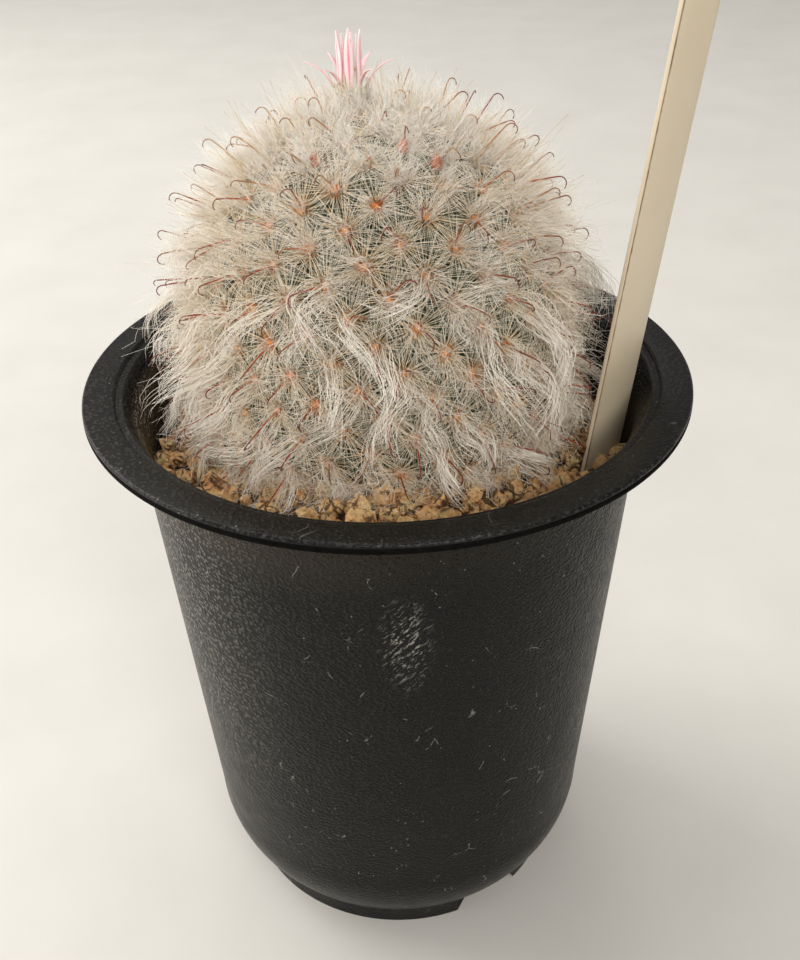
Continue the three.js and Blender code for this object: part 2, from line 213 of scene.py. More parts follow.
def geometryTree(name, settings):
    # settings are the tree's named inputs with their usual values
    tree = bpy.data.node_groups.new(name, "GeometryNodeTree")
    tree.interface.new_socket("Geometry", in_out="INPUT", socket_type="NodeSocketGeometry")
    tree.interface.new_socket("Finish", in_out="INPUT", socket_type="NodeSocketMaterial")
    for label, value in settings.items():
        socket = tree.interface.new_socket(label, in_out="INPUT", socket_type=socketKinds[type(value)])
        socket.default_value = value
    tree.interface.new_socket("Geometry", in_out="OUTPUT", socket_type="NodeSocketGeometry")
    desk = Desk(tree)
    given = desk.add("NodeGroupInput").outputs
    desk.seed = given["Seed"]
    return desk, given


def closeTree(desk, geometry, finish):
    whole = desk.add("GeometryNodeRealizeInstances", {0: geometry})
    coated = desk.add("GeometryNodeSetMaterial", {0: whole, "Material": finish})
    desk.add("NodeGroupOutput", {0: coated})
    return desk.tree


def runTree(tree, mesh, finish, **values):
    # grows the tree on a mesh and gives the result back as a plain mesh
    carrier = bpy.data.objects.new(tree.name, mesh)
    bpy.context.scene.collection.objects.link(carrier)
    modifier = carrier.modifiers.new("grow", "NODES")
    modifier.node_group = tree
    chosen = {"Finish": finish, **values}
    for item in tree.interface.items_tree:
        if item.in_out == "INPUT" and item.name in chosen:
            modifier[item.identifier] = chosen[item.name]
    graph = bpy.context.evaluated_depsgraph_get()
    grown = bpy.data.meshes.new_from_object(carrier.evaluated_get(graph), depsgraph=graph)
    carrier.modifiers.clear()
    bpy.data.objects.remove(carrier)
    for attribute in [a.name for a in grown.attributes if not a.is_internal and not a.is_required]:
        if attribute not in ("OFBake", "sharp_face", "material_index"):
            grown.attributes.remove(grown.attributes[attribute])
    grown.shade_smooth()
    return grown


def addPiece(name, mesh, slot, *nodes, finish=None):
    piece = bpy.data.objects.new(name, mesh)
    bpy.context.scene.collection.objects.link(piece)
    if finish:
        mesh.materials.clear()
        mesh.materials.append(finish)
    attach(piece, "root")
    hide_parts(*nodes)


# Finishes

def newFinish(name):
    finish = bpy.data.materials.new(name)
    finish.use_nodes = True
    desk = Desk(finish.node_tree)
    shader = finish.node_tree.nodes["Principled BSDF"]
    coords = desk.add("ShaderNodeTexCoord").outputs["Object"]
    return finish, desk, shader, coords


def wire(desk, shader, colour, roughness, height=None, strength=0.5, distance=0.1):
    desk.feed(shader.inputs["Base Color"], colour)
    desk.feed(shader.inputs["Roughness"], roughness)
    if height is not None:
        desk.feed(shader.inputs["Normal"], desk.add("ShaderNodeBump", {
            "Strength": strength, "Distance": distance * mm, "Height": height}))


def soften(shader, weight, radius):
    shader.inputs["Subsurface Weight"].default_value = weight
    shader.inputs["Subsurface Radius"].default_value = radius
    shader.inputs["Subsurface Scale"].default_value = 0.8 * mm


potColours = {
    "deep": (0.0045, 0.0043, 0.0039), "light": (0.0085, 0.0082, 0.0074), "furrowShade": (0.002, 0.002, 0.0018),
    "brownDust": (0.055, 0.042, 0.026), "paintedSheen": (0.33, 0.31, 0.265), "glintNick": (0.042, 0.044, 0.046),
    "worn": (0.36, 0.35, 0.32), "lipShadeDeep": (0.0015, 0.0015, 0.0014), "lipShadeLight": (0.004, 0.004, 0.0037),
}
# heights, in metres, between which a finish changes
potLevels = {
    "grain": (0.008, 0.045), "paintedSheen": (0.02, 0.05), "brownDust": (0.076, 0.087), "flare": (0.0905, 0.0915),
    "rim": (0.091, 0.0925), "rimEdge": (0.0932, 0.0934),
}


def potDustAndPaintedLight(desk, colour, coords, pebbles):
    sideways, depth, height = desk.split(coords)
    # brown dust under the rim
    dusty = desk.times(desk.remap(height, *potLevels["brownDust"], 0.0, 1.0, smooth=True),
                       desk.remap(height, *potLevels["flare"], 1.0, 0.0),
                       desk.remap(sideways, -0.03, 0.005, 0.55, 0.12))
    colour = desk.blend(dusty, colour, potColours["brownDust"])
    # painted sheen: a thin pale film on the grain of one side, standing in for window light on that side
    paintedSheen = desk.times(desk.remap(sideways, -0.037, -0.014, 1.0, 0.0, smooth=True),
                      desk.remap(height, *potLevels["paintedSheen"], 0.2, 1.0, smooth=True),
                      desk.remap(pebbles, 0.15, 0.75, 1.0, 0.0),
                      desk.remap(height, *potLevels["flare"], 1.0, 0.06),
                      desk.remap(depth, -0.005, 0.01, 1.0, 0.0, smooth=True))
    colour = desk.blend(paintedSheen, colour, potColours["paintedSheen"])
    # pale nicks along the rim's outer edge: partly wear, partly a painted glint along that edge
    glintNicks = desk.times(desk.remap(desk.fromAxis(coords), 0.0445, 0.0448, 0.0, 1.0),
                       desk.remap(height, *potLevels["rimEdge"], 0.0, 1.0),
                       desk.remap(desk.noise(coords, 1700, 3, 0.7), 0.5, 0.62, 0.0, 0.8))
    return desk.blend(glintNicks, colour, potColours["glintNick"])


def potWear(desk, coords):
    depth, height = desk.split(coords)[1:3]
    # pale rubbed patch on the front
    slanted = desk.mapped(desk.mapped(coords, Rotation=(0.0, 0.85, 0.0)), Scale=(0.28, 1.0, 1.0))
    streaks = desk.noise(slanted, 2500, 4, 0.7)
    patch = desk.mapped(coords, Location=(-0.0014, 0.0, -0.0296), Scale=(1.0, 0.0, 0.42))
    wear = desk.times(desk.remap(desk.vector("LENGTH", patch), 0.0008, 0.0048, 1.0, 0.0, smooth=True),
                      desk.remap(streaks, 0.55, 0.62, 0.0, 1.0),
                      desk.remap(depth, -0.02, -0.03, 0.0, 1.0))
    # broken scratches, wide apart and close together
    for scale, width, patches in ((85.0, 0.010, 130), (190.0, 0.016, 210)):
        lines = desk.cracks(desk.warp(coords, 150.0, 0.006), scale)
        broken = desk.times(desk.remap(desk.noise(coords, patches, 4, 0.7), 0.60, 0.64, 0.0, 1.0),
                            desk.remap(height, *potLevels["rim"], 1.0, 0.35))
        scratch = desk.times(desk.remap(lines, 0.0, width, 0.9, 0.0), broken)
        wear = desk.math("MAXIMUM", wear, scratch)
    specks = desk.times(desk.remap(desk.cells(coords, 620.0), 0.04, 0.1, 1.0, 0.0),
                        desk.remap(desk.noise(coords, 190, 2), 0.5, 0.6, 0.0, 0.9))
    return desk.times(desk.math("MAXIMUM", wear, specks), 0.7)


def potPlastic():
    finish, desk, shader, coords = newFinish("black nursery plastic")
    height = desk.split(coords)[2]
    # pebbled grain, a little wider than high and weaker towards the foot
    squeezed = desk.mapped(coords, Scale=(1.0, 1.0, 1.2))
    pebbles = desk.remap(desk.cells(desk.warp(squeezed, 900.0, 0.0004), 1500.0), 0.1, 0.62, 0.0, 1.0,
                         smooth=True)
    grain = desk.plus(desk.times(pebbles, -1.0), desk.times(desk.noise(coords, 2800, 2), 0.35))
    share = desk.times(desk.remap(height, *potLevels["grain"], 0.15, 1.0, smooth=True),
                       desk.remap(height, *potLevels["rim"], 1.0, 0.22))
    colour = desk.ramp(desk.noise(coords, 60, 4), (0.3, potColours["deep"]), (0.75, potColours["light"]))
    # painted shade: the furrows between the pebbles are darkened
    furrowShading = desk.times(desk.remap(pebbles, 0.4, 1.0, 0.0, 0.8), share)
    colour = desk.blend(furrowShading, colour, potColours["furrowShade"])
    colour = potDustAndPaintedLight(desk, colour, coords, pebbles)
    colour = desk.blend(potWear(desk, coords), colour, potColours["worn"])
    roughness = desk.remap(desk.noise(coords, 320, 3), 0.3, 0.7, 0.28, 0.38)
    wire(desk, shader, colour, roughness, desk.times(grain, share), 1.0, 0.3)
    shader.inputs["Specular IOR Level"].default_value = 0.16
    return finish


def labelPlastic():
    finish, desk, shader, coords = newFinish("cream label plastic")
    cloud = desk.noise(coords, 45, 4)
    colour = desk.ramp(cloud, (0.3, (0.59, 0.50, 0.36)), (0.7, (0.67, 0.58, 0.43)))
    # a brown line along one long edge
    turn, lean = math.radians(label["turn"]), math.radians(label["lean"])
    wide = Vector((math.cos(turn) * math.cos(lean), math.sin(turn), -math.cos(turn) * math.sin(lean)))
    middle = Vector(label["middle"]) * mm
    across = desk.minus(desk.vector("DOT_PRODUCT", coords, tuple(wide)), middle.dot(wide))
    ragged = desk.fused(desk.noise(coords, 700, 3), 0.5 * mm, across)
    low = -label["width"] / 2
    edge = desk.times(desk.remap(ragged, (low + 0.62) * mm, (low + 0.95) * mm, 1.0, 0.0),
                      desk.remap(across, (low + 0.06) * mm, (low + 0.14) * mm, 0.0, 1.0))
    worn = desk.remap(desk.noise(coords, 260, 3), 0.3, 0.6, 0.45, 1.0)
    colour = desk.blend(desk.times(edge, worn), colour, (0.16, 0.07, 0.03))
    roughness = desk.remap(cloud, 0.3, 0.7, 0.36, 0.48)
    wire(desk, shader, colour, roughness, desk.noise(coords, 500, 3), 0.12, 0.08)
    return finish


def soilFinish(name, pale, deep, dark):
    finish, desk, shader, coords = newFinish(name)
    colour = desk.ramp(desk.noise(coords, 380, 4, 0.6), (0.3, dark), (0.4, deep), (0.6, pale))
    crumbs = desk.noise(coords, 1900, 5, 0.75)
    # darker where the crumb bump is low: partly mottling, partly painted shade in the hollows
    colour = desk.blend(desk.remap(crumbs, 0.34, 0.58, 0.5, 0.0), colour, dark)
    # cracks in some patches, and pits, darkened as painted shade
    cracks = desk.cracks(desk.warp(coords, 900.0, 0.0009), 430.0)
    gaps = desk.times(desk.remap(cracks, 0.02, 0.09, 1.0, 0.0),
                      desk.remap(desk.noise(coords, 300, 2), 0.48, 0.56, 0.0, 1.0))
    pits = desk.remap(desk.noise(coords, 1300, 3, 0.7), 0.33, 0.4, 1.0, 0.0)
    gaps = desk.math("MAXIMUM", gaps, pits)
    colour = desk.blend(desk.times(gaps, 0.85), colour, dark)
    height = desk.minus(crumbs, desk.times(gaps, 1.2))
    wire(desk, shader, colour, desk.remap(crumbs, 0.3, 0.7, 0.8, 0.97), height, 1.0, 0.4)
    return finish


def stemSkin():
    finish, desk, shader, coords = newFinish("green cactus skin")
    cloud = desk.noise(coords, 260, 4)
    # painted shade: the green is held darker than the skin's own, standing in for the shade under the
    # spines and hair
    colour = desk.ramp(cloud, (0.3, (0.016, 0.030, 0.009)), (0.7, (0.042, 0.068, 0.02)))
    pores = desk.noise(coords, 3800, 2)
    colour = desk.blend(desk.remap(pores, 0.55, 0.75, 0.0, 0.3), colour, (0.1, 0.13, 0.06))
    wire(desk, shader, colour, desk.remap(cloud, 0.3, 0.7, 0.5, 0.65), pores, 0.25, 0.05)
    return finish


columns = 16  # how many shades a kind of strand has


def strandFinish(name, gradient, young, old, roughness=0.55, youth=0.6, vary=0.12, youngTip=0.35):
    # every strand's own map: u picks one of the columns from crown to foot, v runs from root to tip
    finish, desk, shader = newFinish(name)[:3]
    flat = desk.add("ShaderNodeUVMap", uv_map="OFBake").outputs[0]
    across, along = desk.split(flat)[:2]
    column = desk.math("FLOOR", desk.times(across, float(columns)))
    age = desk.over(column, columns - 1.0)
    shade = desk.math("FRACT", desk.times(column, 0.618))
    fresh = desk.times(desk.remap(age, 0.1, 0.45, youth, 0.0), desk.remap(along, 0.5, 0.9, 1.0, youngTip))
    colour = desk.blend(fresh, desk.ramp(along, *gradient), young)
    colour = desk.blend(1.0, colour, desk.ramp(age, (0.3, (1.0, 1.0, 1.0)), (1.0, old)), "MULTIPLY")
    colour = desk.blend(desk.remap(shade, 0.0, 1.0, 0.0, vary), colour, (0.42, 0.33, 0.22))
    wire(desk, shader, colour, desk.remap(shade, 0.0, 1.0, roughness - 0.08, roughness + 0.1))
    shader.inputs["Specular IOR Level"].default_value = 0.3
    return finish


def mottledFinish(name, low, high, scale, roughness, subsurface=0, shine=0.5):
    finish, desk, shader, coords = newFinish(name)
    cloud = desk.noise(coords, scale, 4)
    fine = desk.noise(coords, scale * 5, 3)
    colour = desk.ramp(cloud, (0.3, low), (0.7, high))
    spread = desk.remap(fine, 0.3, 0.7, roughness - 0.08, roughness + 0.08)
    wire(desk, shader, colour, spread, fine, 0.3, 0.05)
    shader.inputs["Specular IOR Level"].default_value = shine
    soften(shader, subsurface, (0.6, 0.25, 0.2))
    return finish


def tepalFinish(name, pale, stripe, foot):
    # u runs across a tepal and v from its foot to its tip
    finish, desk, shader, coords = newFinish(name)
    flat = desk.add("ShaderNodeUVMap", uv_map="tepalMap").outputs[0]
    across, along = desk.split(flat)[:2]
    fromMiddle = desk.math("ABSOLUTE", desk.minus(across, 0.5))
    wobble = desk.times(desk.noise(coords, 900, 2), 0.09)
    band = desk.remap(desk.plus(fromMiddle, wobble), 0.07, 0.2, 1.0, 0.0, smooth=True)
    colour = desk.blend(band, pale, stripe)
    colour = desk.blend(desk.remap(along, 0.0, 0.3, 0.75, 0.0), colour, foot)
    veins = desk.noise(desk.mapped(flat, Scale=(26.0, 2.0, 1.0)), 1.0, 2)
    colour = desk.blend(desk.remap(veins, 0.35, 0.65, 0.25, 0.0), colour, stripe)
    wire(desk, shader, colour, 0.5, veins, 0.3, 0.06)
    soften(shader, 0.35, (0.6, 0.3, 0.25))
    return finish


# Meshes

def arc(radius, height, size, start, end, steps):
    # points of a round edge in an outline, centred at (radius, height)
    angles = [math.radians(start + (end - start) * i / steps) for i in range(steps + 1)]
    return [(radius + size * math.cos(a), height + size * math.sin(a)) for a in angles]


def bend(first, control, last, steps):
    points = []
    for i in range(steps + 1):
        t = i / steps
        weights = ((1 - t) ** 2, 2 * t * (1 - t), t * t)
        corners = list(zip(weights, (first, control, last)))
        points.append(tuple(sum(w * p[k] for w, p in corners) for k in (0, 1)))
    return points


def divide(outline, longest):
    # adds points so that no stretch of an outline is longer than that
    result = [outline[0]]
    for start, end in zip(outline, outline[1:]):
        count = max(1, math.ceil(math.dist(start, end) / longest))
        for i in range(1, count + 1):
            result.append(tuple(a + (b - a) * i / count for a, b in zip(start, end)))
    return result


def ringPoint(angle, radius=1, height=0):
    return Vector((radius * math.cos(angle), radius * math.sin(angle), height))


def lathe(outline, segments, centre=Vector((0, 0, 0)), move=None):
    # turns an outline that starts and ends on the axis; move shifts each point, in millimetres
    bm = bmesh.new()
    rings = []
    for line, (radius, height) in enumerate(outline):
        ring = []
        for i in range(segments if radius > 1e-6 else 1):
            place = centre + ringPoint(math.tau * i / segments, radius, height)
            if move:
                place = move(place, line)
            ring.append(bm.verts.new(place * mm))
        rings.append(ring)
    for lower, upper in zip(rings, rings[1:]):
        for i in range(segments):
            a, b = lower[i % len(lower)], lower[(i + 1) % len(lower)]
            c, d = upper[(i + 1) % len(upper)], upper[i % len(upper)]
            corners = [a]
            for corner in (b, c, d):
                if corner not in corners:
                    corners.append(corner)
            if len(corners) > 2:
                bm.faces.new(corners)
    return bm


def toMesh(name, bm):
    mesh = bpy.data.meshes.new(name)
    bm.to_mesh(mesh)
    bm.free()
    mesh.shade_smooth()
    return mesh


def sharpen(mesh, angle):
    mesh.set_sharp_from_angle(angle=math.radians(angle))


def skinRings(bm, rings):
    # side faces between rings of equal counts, and a face at each end
    for lower, upper in zip(rings, rings[1:]):
        for k, corner in enumerate(lower):
            after = (k + 1) % len(lower)
            bm.faces.new((corner, lower[after], upper[after], upper[k]))
    bm.faces.new(rings[0][::-1])
    bm.faces.new(rings[-1])


def tube(bm, path, radii, sides):
    # a closed round rod along a path, in millimetres
    rings = []
    for i, place in enumerate(path):
        ahead = path[min(i + 1, len(path) - 1)] - path[max(i - 1, 0)]
        turn = ahead.to_track_quat("Z", "Y")
        rings.append([bm.verts.new((place + turn @ ringPoint(math.tau * k / sides, radii[i])) * mm)
                      for k in range(sides)])
    skinRings(bm, rings)


# Pot

pot = {
    "neckRadius": 37.9, "neckHeight": 86.5, "hipRadius": 32.5, "hipHeight": 16.5,
    "shoulderRadius": 28.3, "footRadius": 27.4, "footHeight": 4.2, "footWidth": 1.8,
    "wall": 1.1, "floorUnder": 3.6, "floorTop": 5, "rimInner": 40.4, "lip": 1.6,
    "notches": 3, "firstNotch": -57, "notchBottom": 12.5, "notchTop": 9,
    "drains": 4, "drainCircle": 15, "drainRadius": 3, "middleDrain": 4, "segments": 192,
}
rimTop = potHigh.z
rimRadius = max(potHigh.x, potHigh.y)
rimUnder = rimTop - pot["lip"]


def wallRadius(height):
    if height >= pot["hipHeight"]:
        rise = (height - pot["hipHeight"]) / (pot["neckHeight"] - pot["hipHeight"])
        return pot["hipRadius"] + (pot["neckRadius"] - pot["hipRadius"]) * rise
    drop = (pot["hipHeight"] - height) / (pot["hipHeight"] - pot["footHeight"])
    return pot["hipRadius"] - (pot["hipRadius"] - pot["shoulderRadius"]) * drop ** 2.2


def potOutline():
    foot, inFoot = pot["footRadius"], pot["footRadius"] - pot["footWidth"]
    inner, wall, neck = pot["rimInner"], pot["wall"], pot["neckRadius"]
    start, hip, end, rows = pot["footHeight"] + 0.5, pot["hipHeight"], pot["neckHeight"], 14
    heights = [start + (hip - start) * (i / rows) for i in range(rows + 1)]
    heights += [hip + (end - hip) * i / rows for i in range(1, rows + 1)]
    outside = [(wallRadius(h), h) for h in heights]
    inside = [(wallRadius(h) - wall, h) for h in reversed(heights) if h > pot["floorTop"] + 1]
    return [
        (0, pot["floorUnder"]), (inFoot - 0.3, pot["floorUnder"]), (inFoot, pot["floorUnder"] - 0.3),
        *arc(inFoot + 0.25, 0.25, 0.25, 180, 270, 3), *arc(foot - 0.25, 0.25, 0.25, 270, 360, 3),
        (foot, pot["footHeight"] - 0.6), (foot + 0.25, pot["footHeight"] - 0.2),
        (pot["shoulderRadius"] - 0.25, pot["footHeight"]), *outside,
        *bend((neck + 0.1, end + 1.1), (neck + 0.6, rimUnder - 0.4), (rimRadius - 2.4, rimUnder), 10),
        *arc(rimRadius - 0.35, rimUnder + 0.35, 0.35, 270, 360, 5),
        *arc(rimRadius - 0.4, rimTop - 0.4, 0.4, 0, 90, 6),
        *divide([(inner + 0.35, rimTop), (inner + 0.1, rimTop - 0.12), (inner - 0.15, rimTop - 0.62)], 0.6),
        *arc(inner - 0.9, rimTop - 1.15, 0.5, 75, 150, 4),
        *bend((inner - 1.5, rimTop - 1.6), (neck - wall + 0.5, rimTop - 2.9),
              (neck - wall + 0.05, end + 0.7), 8)[1:],
        *inside, (wallRadius(pot["floorTop"]) - wall - 0.7, pot["floorTop"]), (0, pot["floorTop"]),
    ]


def potCutters():
    # the gaps in the foot ring and the drainage holes
    bm = bmesh.new()
    for i in range(pot["notches"]):
        turn = Matrix.Rotation(math.radians(pot["firstNotch"] + 360 / pot["notches"] * i), 3, "Z")
        # each gap is wider at the ground than at the floor's underside
        below, top = pot["notchBottom"] / 2 + 0.5, pot["notchTop"] / 2
        corners = ((-below, -1), (below, -1), (top, pot["floorUnder"]), (-top, pot["floorUnder"]))
        rows = []
        for radius in (pot["footRadius"] - 3.5, pot["footRadius"] + 3):
            rows.append([bm.verts.new(turn @ Vector((radius, *corner)) * mm) for corner in corners])
        skinRings(bm, rows)
    holes = [(pot["middleDrain"], 0, 0)]
    for i in range(pot["drains"]):
        holes.append((pot["drainRadius"], pot["drainCircle"], math.radians(45 + 90 * i)))
    for radius, fromAxis, angle in holes:
        tube(bm, [ringPoint(angle, fromAxis, height) for height in (2, 7)], [radius, radius], 40)
    bmesh.ops.recalc_face_normals(bm, faces=bm.faces)
    return toMesh("pot cutters", bm)


def cutPot():
    rough = bpy.data.objects.new("rough pot", toMesh("rough pot", lathe(potOutline(), pot["segments"])))
    cutters = bpy.data.objects.new("cutters", potCutters())
    for item in (rough, cutters):
        bpy.context.scene.collection.objects.link(item)
    hollow = rough.modifiers.new("gaps", "BOOLEAN")
    hollow.operation = "DIFFERENCE"
    hollow.solver = "EXACT"
    hollow.object = cutters
    graph = bpy.context.evaluated_depsgraph_get()
    mesh = bpy.data.meshes.new_from_object(rough.evaluated_get(graph), depsgraph=graph)
    for item in (rough, cutters):
        bpy.data.objects.remove(item)
    mesh.shade_smooth()
    sharpen(mesh, 38)
    return mesh


def rimRing():
    # a thin closed band round the rim's outer edge
    inside = rimRadius - 1.2
    band = [(inside, rimUnder + 0.2), (inside, rimUnder - 0.02), (rimRadius - 0.4, rimUnder - 0.02),
            *arc(rimRadius - 0.33, rimUnder + 0.33, 0.35, 270, 360, 4),
            (rimRadius + 0.02, rimTop - 0.6), (rimRadius - 0.3, rimTop - 0.6)]
    ring = lathe(band + band[:1], pot["segments"])
    bmesh.ops.remove_doubles(ring, verts=ring.verts, dist=1e-6)
    bmesh.ops.recalc_face_normals(ring, faces=ring.faces)
    return toMesh("rim edge", ring)


def buildPot():
    addPiece("pot_shell", cutPot(), "pot_plastic", "nursery_pot", finish=potPlastic())
    # painted shade: the rim's outer edge is duller and darker than its top, standing in for the shade on
    # the lip
    dull = mottledFinish("rim lip painted shade", potColours["lipShadeDeep"], potColours["lipShadeLight"], 900, 0.6,
                         shine=0.03)
    addPiece("rim_edge", rimRing(), "pot_plastic", "nursery_pot", finish=dull)


soil = {"level": 79, "mound": 3.5, "rise": 5.5, "gap": 0.35, "underHairs": 2.4}


def soilHeight(place):
    # heaped round the stem, and at the front
    edge = wallRadius(soil["level"]) - pot["wall"]
    far = max(place.xy.length, 0.001)
    front = max(0.0, -place.y / far) ** 2
    return soil["level"] + soil["mound"] * (1 - min(far / edge, 1) ** 4) + soil["rise"] * front


# Stem

tubercle = {"share": 27.5, "height": 3.9, "width": 3.5}
tapRoot = ((9, -21), (6.6, -24), (4.6, -31), (2.8, -38), (1.6, -45), (0, -46))


def bodyPoint(turn):
    # radius and height of the stem's outline: turn is 0 at the crown, 1 at the foot
    rise = math.cos(math.pi * turn)
    power = body["crownPower"] if rise >= 0 else body["footPower"]
    reach = body["crown"] if rise >= 0 else body["foot"]
    radius = body["radius"] * max(0.0, math.sin(math.pi * turn)) ** (2 / power)
    return radius, math.copysign(reach * abs(rise) ** (2 / power), rise)


def bodyNormal(turn):
    before, after = bodyPoint(max(turn - 0.004, 0)), bodyPoint(min(turn + 0.004, 1))
    along = Vector((after[0] - before[0], after[1] - before[1])).normalized()
    return -along.y, along.x


def areolePlaces():
    # one golden-angle spiral from crown to foot, with an equal share of skin for each
    steps = 600
    places, area = [], 0
    last = bodyPoint(0)
    for step in range(1, steps + 1):
        point = bodyPoint(step / steps)
        area += math.pi * (point[0] + last[0]) * math.dist(point, last)
        while area > (len(places) + 0.5) * tubercle["share"]:
            angle = len(places) * goldenAngle
            across, up = bodyNormal(step / steps)
            around = ringPoint(angle)
            places.append({
                "spot": stemCentre + around * point[0] + Vector((0, 0, point[1])),
                "outward": around * across + Vector((0, 0, up)),
                "slope": around * up - Vector((0, 0, across)),
                "side": Vector((-around.y, around.x, 0)),
                "rank": step / steps, "angle": angle,
            })
        last = point
    return places


areoles = areolePlaces()


def buildStem():
    tree = kdtree.KDTree(len(areoles))
    for i, place in enumerate(areoles):
        tree.insert(place["spot"], i)
    tree.balance()
    turns = [i / 150 for i in range(131)]
    lowEnd = bodyPoint(turns[-1])

    def swell(place, line):
        if line >= len(turns):
            return place
        near = tree.find(place)[2]
        share = max(0.0, math.cos(min(near / tubercle["width"], 1) * math.pi / 2))
        across, up = bodyNormal(turns[line])
        flat = Vector((place.x - stemCentre.x, place.y - stemCentre.y, 0))
        outward = flat.normalized() * across + Vector((0, 0, up))
        return place - outward * (tubercle["height"] * (1 - share ** 1.3))

    # the outline runs from the crown down, so it is turned round to face out
    outline = [bodyPoint(turn) for turn in turns] + [
        (lowEnd[0] * 0.7, lowEnd[1] - 0.8), *tapRoot]
    bm = lathe(outline, 220, stemCentre, swell)
    bmesh.ops.reverse_faces(bm, faces=bm.faces)
    for i in range(5):
        around = ringPoint(i * goldenAngle)
        path = [stemCentre + around * out + Vector((0, 0, -25 - 3 * i - down))
                for out, down in bend((0.5, 0), (10, 1), (17, 9), 10)]
        tube(bm, path, [1.4 - 0.09 * k for k in range(11)], 8)
    addPiece("green_stem", toMesh("green stem", bm), "stem_skin", "cactus_stem", finish=stemSkin())


# Strands

def pointMesh(name, places):
    mesh = bpy.data.meshes.new(name)
    mesh.from_pydata([place["spot"] * mm for place in places], [], [])
    for key in ("outward", "slope", "side"):
        layer = mesh.attributes.new(key, "FLOAT_VECTOR", "POINT")
        values = np.array([place[key] for place in places], dtype=np.float32)
        layer.data.foreach_set("vector", values.ravel())
    layer = mesh.attributes.new("rank", "FLOAT", "POINT")
    layer.data.foreach_set("value", np.array([place["rank"] for place in places], dtype=np.float32))
    return mesh


def growStrands(desk, points, steps, sides, place, thickness, taper):
    # one strand for each point: place gives its position for t from 0 to 1 along it
    line = desk.add("GeometryNodeCurvePrimitiveLine")
    fine = desk.add("GeometryNodeResampleCurve", {"Curve": line, "Count": steps})
    strands = desk.add("GeometryNodeInstanceOnPoints", {"Points": points, "Instance": fine})
    strands = desk.add("GeometryNodeRealizeInstances", {0: strands})
    t = desk.add("GeometryNodeSplineParameter").outputs["Factor"]
    strands = desk.storeNumbers(strands, along=t)
    strands = desk.add("GeometryNodeSetPosition", {"Geometry": strands, "Position": place(t)})
    ring = desk.add("GeometryNodeCurvePrimitiveCircle", {"Resolution": sides, "Radius": 1.0})
    ring = desk.storeNumbers(ring, around=desk.add("GeometryNodeSplineParameter").outputs["Factor"])
    size = desk.times(thickness, desk.minus(1.0, desk.times(desk.math("POWER", t, 1.6), taper)))
    skin = desk.add("GeometryNodeCurveToMesh", {
        "Curve": strands, "Profile Curve": ring, "Scale": size, "Fill Caps": True})
    column = desk.plus(desk.number("column"), desk.fused(desk.number("around"), 0.7, 0.15))
    flat = desk.join(desk.over(column, float(columns)), desk.number("along"))
    return desk.store(skin, "FLOAT2", "CORNER", OFBake=flat)


def pickColumn(desk, shift):
    # crown strands take the first columns and the lowest the last
    spread = desk.plus(desk.remap(desk.number("rank"), 0.0, 0.66, 0.0, 11.0), desk.random(0.0, 4.99, shift))
    return desk.math("MINIMUM", desk.math("FLOOR", spread), columns - 1.0)


def easedPath(desk, t, root, start, end, length):
    # leaves along start and bends over to end
    square = desk.times(t, t, 0.5)
    bent = desk.weighed((start, desk.minus(t, square)), (end, square))
    return desk.total(root, desk.scaled(bent, length))


label = {
    "bevel": 0.11, "width": 11.4, "turn": 52, "lean": 6.7, "middle": (33.3, -7.5, 95),
    "clear": 0.8, "besideFrom": 12, "besideTo": 16,
}


def besideLabel(desk, place):
    # keeps strands on the stem's side of the label
    turn = math.radians(label["turn"])
    local = desk.vector("SUBTRACT", place, tuple(value * mm for value in label["middle"]))
    across = desk.math("ABSOLUTE", desk.vector("DOT_PRODUCT", local, (math.cos(turn), math.sin(turn), 0.0)))
    inner = (-math.sin(turn), math.cos(turn), 0.0)
    short = desk.minus(label["clear"] * mm, desk.vector("DOT_PRODUCT", local, inner))
    half = label["width"] / 2
    near = desk.remap(across, (half + label["besideFrom"]) * mm, (half + label["besideTo"]) * mm, 1.0, 0.0)
    return desk.total(place, desk.scaled(inner, desk.times(desk.math("MAXIMUM", short, 0.0), near)))


def keepOut(desk, place, clear):
    # pushes a point out of the stem and up off the soil
    middle = tuple(stemCentre * mm)
    radii = tuple(value * mm for value in (body["radius"], body["radius"], body["crown"]))
    local = desk.vector("DIVIDE", desk.vector("SUBTRACT", place, middle), radii)
    far = desk.math("MAXIMUM", desk.vector("LENGTH", local), 0.001)
    push = desk.math("MAXIMUM", desk.over(clear, far), 1.0)
    outside = desk.total(middle, desk.vector("MULTIPLY", desk.scaled(local, push), radii))
    forward = desk.math("MAXIMUM", desk.times(desk.split(outside)[1], -1.0), 0.0)
    front = desk.over(forward, desk.math("MAXIMUM", desk.fromAxis(outside), 0.001))
    ground = soil["level"] + soil["underHairs"]
    floor = desk.fused(desk.times(front, front), soil["rise"] * mm, ground * mm)
    return besideLabel(desk, desk.vector("MAXIMUM", outside, desk.join(-1.0, -1.0, floor)))


